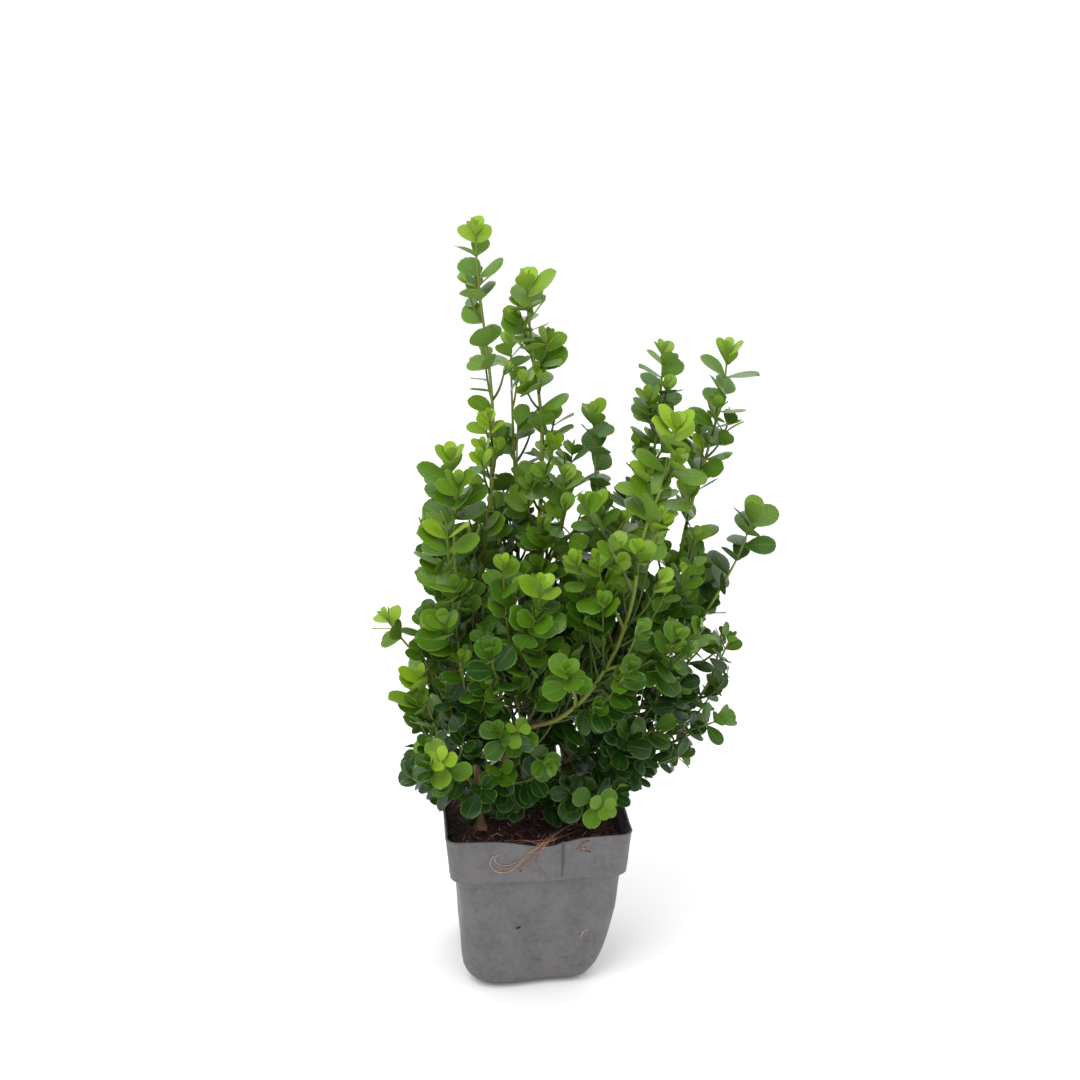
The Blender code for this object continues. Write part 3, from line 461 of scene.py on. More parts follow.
def grow_limbs():
    """The paths of all stems and boughs, by name."""
    limbs = {}
    for name, stem in STEMS.items():
        foot = Vector((*stem.foot, SOIL_TOP + GAP))
        neck = foot + UP * FLARE_HEIGHT / 2
        path = [foot, foot + UP * FLARE_HEIGHT / 6] + sweep(neck, UP, Vector(stem.fork), 0.2, LIMB_POINTS)
        limbs[name] = Wood(path, stem.thick, stem.thin, FLARE)
    for name, bough in BOUGHS.items():
        end = Vector(bough.end)
        start, heading = leave(limbs[bough.parent], bough.at, end, bough.thick)
        limbs[name] = Wood(sweep(start, heading, end, bough.rise, LIMB_POINTS), bough.thick, bough.thin)
    return limbs


def twig_path(start, heading, end, rise, spacing=FINE_SPACING):
    points = max(round((end - start).length / spacing), 2) + 1
    return sweep(start, heading, end, rise, points)


def grow_leaders(limbs):
    """The main twig of each mass, from its limb to just short of its last leaves."""
    leaders = {}
    for name, shoot in SHOOTS.items():
        tip = Vector(shoot.tip)
        start, heading = leave(limbs[shoot.parent], shoot.at, tip, SHOOT_THICK)
        ahead = (tip - start).normalized().lerp(UP, shoot.rise).normalized()
        end = tip - ahead * TIP_LEAVES
        leaders[name] = Wood(twig_path(start, heading, end, shoot.rise), SHOOT_THICK, TWIG_THIN)
    return leaders


class Space:
    """All the wood so far, to keep each mass to what is nearer its own wood."""

    def __init__(self, limbs):
        dots = [limb.dots() for limb in limbs.values()]
        points = np.concatenate([points for points, _ in dots])
        self.girths = np.concatenate([radii for _, radii in dots])
        self.limbs = tree_of(points)
        self.points, self.owners = [], []
        self.nearest = None
        self.open_limbs = np.concatenate([limbs[name].dots()[0] for name in OPEN_LIMBS])

    def add(self, name, wood):
        for point in wood.dots()[0]:
            self.points.append(point)
            self.owners.append(name)

    def settle(self):
        """Takes in what was added since, for the tests below."""
        self.nearest = tree_of(self.points)

    def off_limbs(self, point):
        return min(distance - self.girths[i] for _, i, distance in self.limbs.find_n(point, 3))

    def owner(self, point):
        return self.owners[self.nearest.find(point)[1]]

    def hides_limb(self, points):
        """Whether a point stands close before a limb that lies open to the front."""
        away = np.array(points)[:, None] - self.open_limbs[None]
        ahead = away @ OPEN_TOWARDS
        aside = np.linalg.norm(away - ahead[..., None] * OPEN_TOWARDS, axis=2)
        return bool(((ahead > 0) & (ahead < OPEN_DEPTH) & (aside < OPEN_WIDTH)).any())

    def clear(self, name, points):
        """Whether the points are nearest the mass's own wood, off the limbs and above the pot."""
        for point in points:
            if too_low(point) or self.off_limbs(point) < LIMB_APART or self.owner(point) != name:
                return False
        return not self.hides_limb(points)


def in_sky(points):
    """Whether any point is past the crown's reach or in an open place, seen from the front."""
    points = np.array(points)
    share = EYE[1] / (EYE[1] - points[:, 1])
    across, up = EYE[0] + (points[:, 0] - EYE[0]) * share, EYE[2] + (points[:, 2] - EYE[2]) * share
    left, right = (np.interp(up, CROWN_REACH[:, 0], CROWN_REACH[:, side]) for side in (1, 2))
    aside = (across[:, None] - OPEN_PLACES[:, 0]) / OPEN_PLACES[:, 2]
    above = (up[:, None] - OPEN_PLACES[:, 1]) / OPEN_PLACES[:, 3]
    return bool((across < left).any() or (across > right).any() or (aside**2 + above**2 < OPEN_SHARE).any())


def too_low(point):
    inside = max(abs(point[0]), abs(point[1])) < RIM_HALF - 0.008
    return point[2] < (LOWEST_INSIDE if inside else LOWEST_LEAF)


def tree_of(points):
    tree = KDTree(len(points))
    for i, point in enumerate(points):
        tree.insert(point, i)
    tree.balance()
    return tree


def side_of(direction):
    """A level direction square to a twig, or nearly level where the twig is upright."""
    side = direction.cross(UP)
    if side.length < 0.2:
        side = direction.cross(Vector((0, 1, 0)))
    return side.normalized()


def first_turn(name):
    return random.Random(name + " turn").uniform(0, math.tau)


def grow_twigs(name, leader, draws):
    """Side twigs of one mass, which leave its leader by turns and rise."""
    shoot = SHOOTS[name]
    for i in range(shoot.twigs):
        share = TWIG_FIRST + (TWIG_LAST - TWIG_FIRST) * (i + draws.uniform(0.2, 0.8)) / shoot.twigs
        turn = math.radians(137.5) * i + draws.uniform(-0.5, 0.5) + first_turn(name)
        length = shoot.reach * draws.uniform(0.8, 1.2)
        foot, direction = leader.place(leader.length * share)
        out = Quaternion(direction, turn) @ side_of(direction)
        heading = direction * math.cos(TWIG_ANGLE) + out * math.sin(TWIG_ANGLE)
        end = foot + (heading * (1 - TWIG_RISE) + UP * TWIG_RISE).normalized() * length
        yield Wood(twig_path(foot, heading, end, TWIG_RISE), TWIG_THICK, TWIG_THIN)


def grow_fine_twigs(name, wood, space, draws):
    """Short twigs out of the axils of a twig, none near its tip."""
    distance, i = BARE_FOOT * 2, 0
    top = wood.length - FINE_BELOW_TIP
    top = min(top, wood.length * BARE_SHOOTS.get(name, 1))
    while distance < top:
        foot, direction = wood.place(distance)
        turn = math.radians(137.5) * i + draws.uniform(-0.4, 0.4) + first_turn(name)
        length = draws.uniform(FINE_SHORT, FINE_LONG)
        out = Quaternion(direction, turn) @ side_of(direction)
        heading = direction * math.cos(TWIG_ANGLE) + out * math.sin(TWIG_ANGLE)
        end = foot + (heading * (1 - TWIG_RISE) + UP * TWIG_RISE).normalized() * length
        twig = Wood(twig_path(foot, heading, end, TWIG_RISE), FINE_THICK, FINE_THIN)
        dots = twig.dots(0.004)[0][1:]
        if space.clear(name, dots) and not in_sky(dots):
            yield twig
        distance += FINE_STEP * draws.uniform(0.8, 1.3)
        i += 1


def grow_limb_twigs(limbs, space):
    """Leafy twigs straight off the stems and boughs, each given to the mass whose space it ends in."""
    found = {name: [] for name in SHOOTS}
    for limb_name, limb in limbs.items():
        draws, i = random.Random(limb_name), 0
        distance = STEM_BARE.get(limb_name, LIMB_BARE)
        while distance < limb.length:
            foot, direction = limb.place(distance)
            turn = math.radians(137.5) * i + draws.uniform(-0.4, 0.4)
            sparse = min(max((foot.z - DENSE_BELOW) / SPARSE_ABOVE, 0), 1)
            flat = min(max((FLAT_BELOW - foot.z) / (FLAT_BELOW - SOIL_TOP), 0), 1)
            angle = TWIG_ANGLE + (FLAT_ANGLE - TWIG_ANGLE) * flat
            rise = TWIG_RISE + (FLAT_RISE - TWIG_RISE) * flat
            length = draws.uniform(LIMB_TWIG_SHORT, LIMB_TWIG_LONG) * (1 - 0.5 * sparse)
            out = Quaternion(direction, turn) @ side_of(direction)
            heading = direction * math.cos(angle) + out * math.sin(angle)
            end = foot + (heading * (1 - rise) + UP * rise).normalized() * length
            twig = Wood(twig_path(foot, heading, end, rise), TWIG_THICK, FINE_THIN)
            dots = twig.dots(0.004)[0][2:]
            crown = Vector(dots[-1])
            apart = min(space.nearest.find(dot)[2] for dot in dots)
            if space.hides_limb(dots) or in_sky(dots):
                apart = 0
            if apart > LIMB_TWIG_APART and min(space.off_limbs(dot) for dot in dots) > LIMB_APART:
                if not any(too_low(dot) for dot in dots) and space.nearest.find(crown)[2] < MASS_REACH:
                    found[space.owner(crown)].append(twig)
            distance += LIMB_TWIG_STEP * draws.uniform(0.8, 1.2) * (1 + sparse)
            i += 1
    return found


# Leaves


Leaf = namedtuple("Leaf", "place length tone model")
LEAF_STATIONS = (0, 0.07, 0.16, 0.30, 0.46, 0.62, 0.77, 0.90, 0.975)
LEAF_ACROSS = (-1, -0.62, 0, 0.62, 1)
YOUNG_MODELS, LEAF_MODELS = 2, 6  # the first ones are young leaves, cupped


def half_width(share):
    """Half the width of a leaf of unit length: a short stalk, then a broad blunt blade."""
    if share < 0.05:
        return 0.022
    blade = (share - 0.05) / 0.95
    return 0.022 + (LEAF_ASPECT / 2 - 0.022) * math.sin(math.pi * blade ** 1.32) ** 0.62


@lru_cache
def leaf_bends(number):
    """How far a leaf model bends back along its length, folds down at its sides, and twists."""
    draws = random.Random(number)
    young = number < YOUNG_MODELS
    return (
        draws.uniform(0.16, 0.26) if young else draws.uniform(0.06, 0.20),
        draws.uniform(-0.07, -0.03) if young else draws.uniform(-0.02, 0.07),
        draws.uniform(-0.12, 0.12),
    )


def leaf_surface(number, share, across):
    """A point of a leaf model of unit length: share along it, -1 to 1 across it."""
    bend, fold, twist = leaf_bends(number)
    y = half_width(min(share, 0.955)) * across
    x = share - 0.05 * (share > 0.95) * across**2
    sides = fold * abs(across) ** (2 if fold > 0 else 1.3) * (0.3 + 0.7 * share)
    return Vector((x, y, twist * y - sides - bend * share**2 * 0.55))


def leaf_frame(point, direction, turn, angle, draws):
    """The matrix of a leaf: X along it, Z out of its upper face."""
    open_share = angle / OLD_ANGLE
    loose = 0.2 + 0.8 * open_share
    angle = math.radians(angle) + draws.gauss(0, ANGLE_SPREAD) * loose
    out = Quaternion(direction, turn + draws.gauss(0, TURN_SPREAD) * loose) @ side_of(direction)
    along = direction * math.cos(angle) + out * math.sin(angle)
    out_of_crown = ((point - CROWN_MIDDLE) * CROWN_SHAPE).normalized()
    face = direction * 0.5 + (UP * LIGHT_PULL + out_of_crown * SIDE_PULL) * open_share**2
    face = (face - along * face.dot(along)).normalized()
    face = Quaternion(along, draws.gauss(0, ROLL_SPREAD) * loose) @ face
    place = Matrix((along, face.cross(along), face)).transposed().to_4x4()
    place.translation = point
    return place


def swung(place, direction, degrees):
    """A leaf's matrix turned round its twig."""
    turned = Quaternion(direction, math.radians(degrees)).to_matrix().to_4x4() @ place
    turned.translation = place.translation
    return turned


def blade_shape(place, length, number):
    """Points of a leaf past its stalk and its few broad faces, to find where two leaves would cross."""
    points = [
        place @ (leaf_surface(number, share, across) * length)
        for share in (0.2, 0.45, 0.72, 0.97)
        for across in (-0.97, 0, 0.97)
    ]
    faces = [(i, i + 1, i + 4, i + 3) for i in range(9) if i % 3 < 2]
    return points, BVHTree.FromPolygons(points, faces)


def pairs_along(wood, step):
    """Distances along a twig at which its pairs of leaves stand, from the tip down."""
    distance, space = wood.length - TIP_SPACE / 4, TIP_SPACE
    while distance > BARE_FOOT:
        yield distance
        distance -= space
        space = min(space * SPACE_GROWTH, step)


def grow_leaves(name, woods, space, leaf_length, draws):
    """The leaves of one mass that stay in its own space and cross no other; twigs with few are dropped."""
    shoot, leaves, shapes, bare = SHOOTS[name], [], [], []
    for k, wood in enumerate(woods):
        before = len(leaves)
        # Painted shade: leaves of twigs that start low in the crown get a lower tone, and their newest leaves are less
        # bright
        shaded = min(max((SHADE_BELOW - wood.path[0].z) / SHADE_DEEP, 0), 1) * (1 if k else LEADER_SHADE[shoot.colour])
        spray_tone = TONES[shoot.colour] + BRIGHTER.get(name, 0) + draws.gauss(0, 0.05) - 0.50 * shaded
        step = shoot.step * STEP_SHARE.get(name, CLOSE_STEP)
        pairs = GROWN_PAIRS if shoot.colour == "dark" else YOUNG_PAIRS
        if name in OPEN_TIPS and not k:
            pairs = OPEN_PAIRS
        for i, distance in enumerate(pairs_along(wood, step)):
            point, direction = wood.place(distance)
            age = min((wood.length - distance) / OLD_AFTER, 1)
            share, angle = pairs[i] if i < len(pairs) else (1, OLD_ANGLE)
            free = k == 0 and wood.length - distance < FREE_TIP
            size = leaf_length * shoot.leaf * share * (BIGGER_TIPS.get(name, 1) if free and share < 1 else 1)
            for half in (0, 1):
                turn = first_turn(name) + math.radians(90 * i + (0 if k else TIP_TURNS.get(name, 0))) + math.pi * half
                first = leaf_frame(point, direction, turn, angle, draws)
                length = size * draws.uniform(0.86, 1.1)
                newest = (0.36 - 0.14 * shaded if k else 0.50) * (1 - age) ** 1.2
                tone = spray_tone + newest - 0.10 * age + draws.gauss(0, 0.04)
                model = draws.randrange(*((0, YOUNG_MODELS) if share < 1 else (YOUNG_MODELS, LEAF_MODELS)))
                for cut, swing in LEAF_TRIES:
                    place = swung(first, direction, swing)
                    points, shape = blade_shape(place, length * cut, model)
                    if not free and in_sky(points):
                        continue
                    if space.clear(name, points[:3:2] + points[3:]) and not any(shape.overlap(other) for other in shapes):
                        leaves.append(Leaf(place, length * cut, tone, model))
                        shapes.append(shape)
                        break
        if k and len(leaves) - before < LEAST_PAIRS * 2:
            del leaves[before:], shapes[before:]
            bare.append(wood)
    woods[:] = [wood for wood in woods if wood not in bare]
    return leaves


@lru_cache
def grow_plant(leaf_length):
    """Limbs by name, and the twigs and leaves of each mass by its name."""
    limbs = grow_limbs()
    leaders, space = grow_leaders(limbs), Space(limbs)
    draws = {name: random.Random(name) for name in SHOOTS}
    for name, leader in leaders.items():
        space.add(name, leader)
    space.settle()
    woods = {}
    for name, leader in leaders.items():
        twigs = [twig for twig in grow_twigs(name, leader, draws[name]) if space.clear(name, twig.dots()[0][2:])]
        woods[name] = [leader] + twigs
        for twig in twigs:
            space.add(name, twig)
    space.settle()
    for name, twigs in grow_limb_twigs(limbs, space).items():
        woods[name] += twigs
        for twig in twigs:
            space.add(name, twig)
    space.settle()
    for name in SHOOTS:
        fine = [twig for wood in woods[name] for twig in grow_fine_twigs(name, wood, space, draws[name])]
        woods[name] += fine
    for name, twigs in woods.items():
        for twig in twigs:
            space.add(name, twig)
    space.settle()
    leaves = {name: grow_leaves(name, woods[name], space, leaf_length, draws[name]) for name in SHOOTS}
    return limbs, woods, leaves


# Geometry trees


def new_group(name, sockets):
    tree = bpy.data.node_groups.new(name, "GeometryNodeTree")
    tree.interface.new_socket("Geometry", in_out="INPUT", socket_type="NodeSocketGeometry")
    for label, kind in sockets:
        tree.interface.new_socket(label, in_out="INPUT", socket_type=kind)
    tree.interface.new_socket("Geometry", in_out="OUTPUT", socket_type="NodeSocketGeometry")
    start = tree.nodes.new("NodeGroupInput")
    return tree, {socket.name: Wire(tree, socket) for socket in start.outputs if socket.name}


def close_group(tree, geometry, material):
    """Ends a tree in Realize Instances and Set Material."""
    real = add_node(tree, "GeometryNodeRealizeInstances", None, {"Geometry": geometry})
    done = add_node(tree, "GeometryNodeSetMaterial", None, {"Geometry": real, "Material": material})
    end = tree.nodes.new("NodeGroupOutput")
    tree.links.new(done.socket, end.inputs[0])


def named(tree, name, kind="FLOAT"):
    return add_node(tree, "GeometryNodeInputNamedAttribute", {"data_type": kind}, {"Name": name})


def scatter_tree():
    """Puts one of a collection's models on each point, turned and sized by the point's attributes."""
    tree, given = new_group(
        "models on points", (("Models", "NodeSocketCollection"), ("Material", "NodeSocketMaterial"))
    )
    models = add_node(
        tree, "GeometryNodeCollectionInfo", None,
        {"Collection": given["Models"], "Separate Children": True, "Reset Children": True},
    )
    placed = add_node(tree, "GeometryNodeInstanceOnPoints", None, {
        "Points": given["Geometry"], "Instance": models, "Pick Instance": True,
        "Instance Index": named(tree, "model", "INT"),
        "Rotation": named(tree, "facing", "QUATERNION"), "Scale": named(tree, "size"),
    })
    close_group(tree, placed, given["Material"])
    return tree


def skin_tree():
    """Gives paths a round skin of their girth, roughened by a noise."""
    tree, given = new_group("skin on paths", (
        ("Sides", "NodeSocketInt"), ("Relief", "NodeSocketFloat"), ("Grain", "NodeSocketFloat"),
        ("Material", "NodeSocketMaterial"),
    ))
    girth = named(tree, "girth")
    curve = add_node(tree, "GeometryNodeMeshToCurve", None, {"Mesh": given["Geometry"]})
    ring = add_node(tree, "GeometryNodeCurvePrimitiveCircle", None, {"Resolution": given["Sides"], "Radius": 1})
    thick = add_node(tree, "GeometryNodeSetCurveRadius", None, {"Curve": curve, "Radius": girth})
    skin = add_node(tree, "GeometryNodeCurveToMesh", None, {
        "Curve": thick, "Profile Curve": ring, "Fill Caps": True, "Scale": girth,
    })
    rough = add_node(tree, "ShaderNodeTexNoise", None, {"Scale": given["Grain"], "Detail": 3.0})
    height = (rough - 0.5) * given["Relief"] * girth
    normal = add_node(tree, "GeometryNodeInputNormal")
    lift = add_node(tree, "ShaderNodeVectorMath", {"operation": "SCALE"}, {0: normal, "Scale": height})
    moved = add_node(tree, "GeometryNodeSetPosition", None, {"Geometry": skin, "Offset": lift})
    smooth = add_node(tree, "GeometryNodeSetShadeSmooth", None, {"Geometry": moved})
    close_group(tree, smooth, given["Material"])
    return tree


def run_tree(name, mesh, tree, values):
    """The tree's result on a mesh, as a new plain object."""
    source = bpy.data.objects.new(name, mesh)
    bpy.context.scene.collection.objects.link(source)
    step = source.modifiers.new("tree", "NODES")
    step.node_group = tree
    places = {item.name: item.identifier for item in tree.interface.items_tree if item.in_out == "INPUT"}
    for label, value in values.items():
        step[places[label]] = value
    graph = bpy.context.evaluated_depsgraph_get()
    made = bpy.data.meshes.new_from_object(source.evaluated_get(graph))
    bpy.data.objects.remove(source, do_unlink=True)
    return add_piece(name, made)


def add_piece(name, mesh, material=None):
    mesh.name = name
    piece = bpy.data.objects.new(name, mesh)
    bpy.context.scene.collection.objects.link(piece)
    if material:
        mesh.materials.clear()
        mesh.materials.append(material)
    return piece


def place_piece(piece, slot, *nodes):
    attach(piece, BODY)
    if nodes:
        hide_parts(*nodes)


def paths_mesh(woods, knots=0.0, sunk=0.0):
    """Edges along each wood, with girth and bark as attributes of their points: bark runs from green wood at 0 to tan
    bark at 1, and below 0 it darkens the wood as painted shade.
    """
    points, edges, girths, barks = [], [], [], []
    for wood, bark, foot in woods:
        first = len(points)
        path = list(wood.path)
        radii = [wood.radius(distance) for distance in wood.along]
        if foot is not None:
            path.insert(0, foot)
            radii.insert(0, radii[0])
        points += path
        girths += radii
        edges += [(i, i + 1) for i in range(first, len(points) - 1)]
        barks += list(np.linspace(bark[0], bark[1], len(path)))
    mesh = bpy.data.meshes.new("paths")
    mesh.from_pydata(points, edges, [])
    set_values(mesh, "girth", "FLOAT", girths)
    set_values(mesh, "bark", "FLOAT", barks)
    return mesh


def set_values(mesh, name, kind, values):
    made = mesh.attributes.new(name, kind, "POINT")
    made.data.foreach_set("value", np.array(values, dtype=np.int32 if kind == "INT" else np.float32).ravel())


def points_mesh(places, sizes, models, tones):
    """One point for each instance, with its attributes."""
    mesh = bpy.data.meshes.new("points")
    mesh.from_pydata([place.translation for place in places], [], [])
    set_values(mesh, "facing", "QUATERNION", [place.to_quaternion() for place in places])
    set_values(mesh, "size", "FLOAT", sizes)
    set_values(mesh, "model", "INT", models)
    set_values(mesh, "tone", "FLOAT", tones)
    return mesh


# Leaf models


def leaf_model(number):
    """A closed thin leaf of unit length along X: domed across, bent along, grooved on its midrib."""
    bm = bmesh.new()
    across_layer = bm.verts.layers.float.new("across")
    along_layer = bm.verts.layers.float.new("along")
    under_layer = bm.faces.layers.float.new("under")
    rows = {0: [], 1: []}
    for share in LEAF_STATIONS:
        tops, unders = [], []
        for across in LEAF_ACROSS:
            spot = leaf_surface(number, share, across)
            notch = 0.018 if share > 0.95 and across == 0 else 0
            groove = 0.012 if across == 0 and share > 0.1 else 0
            top = bm.verts.new(spot - Vector((notch, 0, groove)))
            rim = abs(across) == 1
            tops.append(top)
            top[across_layer], top[along_layer] = across, share
            if across in (-1, 0, 1):
                under = top if rim else bm.verts.new(spot - Vector((notch, 0, 0.024)))
                under[across_layer], under[along_layer] = across, share
                unders.append(under)
        rows[0].append(tops)
        rows[1].append(unders)
    for side, levels in rows.items():
        for low, high in zip(levels, levels[1:]):
            for i in range(len(low) - 1):
                corners = [low[i], high[i], high[i + 1], low[i + 1]]
                face = bm.faces.new(corners if side else corners[::-1])
                face[under_layer] = side
    for end in (0, -1):
        loop = rows[0][end] + rows[1][end][-2:0:-1]
        bm.faces.new(loop)
    bmesh.ops.recalc_face_normals(bm, faces=bm.faces)
    for face in bm.faces:
        face.smooth = True
    for edge in bm.edges:
        edge.smooth = len({face[under_layer] for face in edge.link_faces}) == 1
    mesh = bpy.data.meshes.new(f"leaf_model_{number}")
    bm.to_mesh(mesh)
    bm.free()
    return mesh


def hidden_models(name, meshes):
    """A collection of models outside the scene's view, for a scatter tree."""
    group = bpy.data.collections.new(name)
    for i, mesh in enumerate(meshes):
        group.objects.link(bpy.data.objects.new(f"{name}_{i}", mesh))
    return group


def drop_models(group):
    for model in list(group.objects):
        bpy.data.objects.remove(model, do_unlink=True)
    bpy.data.collections.remove(group)


# Materials


def leaf_finish(looks):
    """Glossy leaf: colour by tone (leaf age, and painted shade low in the crown), paler beneath, a light midrib and a
    thin pale edge.
    """
    finish = Finish("boxwood leaf", 0.36)
    finish.shader.inputs["Specular IOR Level"].default_value = 0.30
    tone, under = finish.value("tone"), finish.value("under")
    across, along = finish.value("across"), finish.value("along")
    patches = finish.noise(70, 2.0)
    shade = tone + (patches - 0.5) * 0.12
    old_and_shaded, grown, young, tip = looks.old_and_shaded_leaf, looks.grown_leaf, looks.young_leaf, looks.tip_leaf
    # The darkest stop is the green of old leaves, darkened further as painted shade
    upper = finish.ramp(shade, (
        (0.05, tuple(old_and_shaded)), (0.42, tuple(grown)), (0.74, tuple(young)), (0.98, tuple(tip)),
    ))
    rib = 1 - abs(across).within(0.02, 0.10)
    edge = abs(across).within(0.84, 0.97)
    light = finish.mix(0.5, upper, tuple(looks.leaf_underside))
    upper = finish.mix(rib * 0.35 + edge * 0.9, upper, light)
    lower = finish.mix(0.45, upper, tuple(looks.leaf_underside))
    finish.link("Base Color", finish.mix(under, upper, lower))
    finish.link("Roughness", under * 0.18 + patches * 0.14 + 0.30)
    veins = ((along * 46 - abs(across) * 9).maths("SINE", along * 46 - abs(across) * 9) * 0.5 + 0.5) * (1 - edge)
    finish.bump(veins * 0.35 + rib * -0.8, 0.0003, 0.5)
    return finish.material


def wood_finish(looks):
    """Young wood turns from green to tan bark with fine lengthwise cracks; where bark is below 0 the green darkens
    towards a deep green, as painted shade on twigs inside the crown.
    """
    finish = Finish("boxwood bark", 0.7)
    bark = finish.value("bark")
    fibres = finish.noise(420, 4.0, (1, 1, 0.14))
    patches = finish.noise(160, 3.0)
    brown = finish.ramp(fibres * 0.6 + patches * 0.4, (
        (0.30, tuple(c * 0.45 for c in looks.bark)), (0.52, tuple(looks.bark)),
        (0.72, tuple(min(c * 1.6, 1) for c in looks.bark)),
    ))
    green = finish.mix(patches, tuple(looks.green_wood), tuple(c * 0.6 for c in looks.green_wood))
    # Painted shade: bark below 0 darkens the green towards a deep green, for twigs inside the crown
    green = finish.mix(bark.within(-1, 0), tuple(c * 0.35 for c in looks.grown_leaf), green)
    finish.link("Base Color", finish.mix((bark + (patches - 0.5) * 0.5).within(0.25, 0.75), green, brown))
    finish.link("Roughness", bark * 0.3 + 0.5)
    finish.bump(fibres, 0.0006, 0.6)
    return finish.material


def pot_finish(looks):
    """Matte grey plastic: faint smudges and scuffs, and soil stuck near the foot."""
    finish = Finish("soft grey plastic", 0.55)
    smudges, scuffs = finish.noise(60, 6.0), finish.noise(300, 4.0)
    grain, dents = finish.noise(900, 2.0), finish.noise(95, 3.0, (0.8, 0.8, 1))
    flecks = finish.noise(240, 2.0, (0.6, 0.6, 1)).within(0.66, 0.74)
    plain = tuple(looks.pot)
    base = finish.ramp(smudges * 0.55 + scuffs * 0.45, (
        (0.32, tuple(c * 0.72 for c in plain)), (0.50, plain), (0.68, tuple(c * 1.28 for c in plain)),
    ))
    base = finish.mix(flecks * 0.6, base, tuple(c * 0.45 for c in plain))
    height = finish.node("ShaderNodeSeparateXYZ", None, {0: finish.place}, out="Z")
    across = finish.node("ShaderNodeSeparateXYZ", None, {0: finish.place}, out="X")
    low = (1 - height.within(0.0, 0.026)) * (1.25 - across.within(-0.045, -0.015))
    dirt = (smudges * 0.5 + scuffs * 0.5 + low * 0.19).within(0.58, 0.74)
    finish.link("Base Color", finish.mix(dirt * 0.5, base, tuple(c * 2.2 for c in looks.soil)))
    finish.link("Roughness", smudges * 0.2 + 0.44)
    finish.bump(grain * 0.1 + scuffs * 0.25 + dents * 0.65 - flecks * 0.2, 0.0015, 0.5)
    return finish.material


def soil_finish(looks):
    """Moist peat: crumbs from near black to brown."""
    finish = Finish("moist potting mix", 0.9)
    crumbs, patches = finish.noise(520, 4.0), finish.noise(90, 3.0)
    dark = tuple(looks.soil)
    mixed = finish.ramp(crumbs * 0.7 + patches * 0.3, (
        (0.36, tuple(c * 0.2 for c in dark)), (0.54, tuple(c * 0.7 for c in dark)),
        (0.70, tuple(c * 2.2 for c in dark)),
    ))
    finish.link("Base Color", mixed)
    finish.link("Roughness", patches * 0.3 + 0.7)
    finish.bump(crumbs, 0.0012, 0.9)
    return finish.material


def litter_finish(looks):
    """Bark flakes and roots, red-brown to straw by tone."""
    finish = Finish("bark flakes and roots", 0.85)
    tone = finish.value("tone")
    streaks = finish.noise(600, 3.0, (1, 0.3, 1))
    colour = finish.ramp(tone + (streaks - 0.5) * 0.3, (
        (0.0, linear(28, 13, 13)), (0.3, linear(80, 38, 36)), (0.55, linear(118, 62, 54)),
        (0.8, linear(150, 122, 100)), (1.0, linear(196, 188, 176)),
    ))
    finish.link("Base Color", colour)
    finish.bump(streaks, 0.0006, 0.6)
    return finish.material


# Pot and soil meshes


def corner_at(height):
    return FOOT_CORNER + (RIM_CORNER - FOOT_CORNER) * height / POT_HEIGHT


def pot_profile():
    """Half width, corner radius and height of the outside, from the underside to the rim."""
    profile = []
    for step in range(FOOT_ROUND_STEPS + 1):
        turn = math.radians(90) * step / FOOT_ROUND_STEPS
        drawn_in = FOOT_ROUND * (1 - math.sin(turn))
        height = FOOT_ROUND * (1 - math.cos(turn))
        profile.append((BODY_FOOT_HALF - drawn_in, corner_at(height) - drawn_in, height))
    foot = POT_HEIGHT - BAND_HEIGHT
    for share in np.linspace(0.08, 1, 14):
        height = FOOT_ROUND + (foot - STEP_HEIGHT - FOOT_ROUND) * share
        half = BODY_FOOT_HALF + (BODY_TOP_HALF - BODY_FOOT_HALF) * share
        profile.append((half, corner_at(height), height))
    step = ((0.35, -0.6), (0.75, -0.15), (1.0, 0.25), (1.0, 0.7))
    for out, up in step:
        half = BODY_TOP_HALF + (BAND_HALF - BODY_TOP_HALF) * out
        height = foot + STEP_HEIGHT * up
        profile.append((half, corner_at(height), height))
    for share in np.linspace(0.15, 0.96, 8):
        height = foot + BAND_HEIGHT * share
        profile.append((BAND_HALF + (RIM_HALF - BAND_HALF) * share, corner_at(height), height))
    return profile


def square_ring(half, corner, height):
    """Points round a square with round corners, from the middle of its right side."""
    points = []
    for quarter in range(4):
        turned = Matrix.Rotation(math.radians(90) * quarter, 3, "Z")
        flat = half - corner
        for share in SIDE_SHARES:
            points.append(turned @ Vector((half, flat * share, height)))
        for step in range(CORNER_STEPS):
            turn = math.radians(90) * step / CORNER_STEPS
            out = Vector((math.cos(turn), math.sin(turn), 0)) * corner
            points.append(turned @ (Vector((flat, flat, height)) + out))
    return points


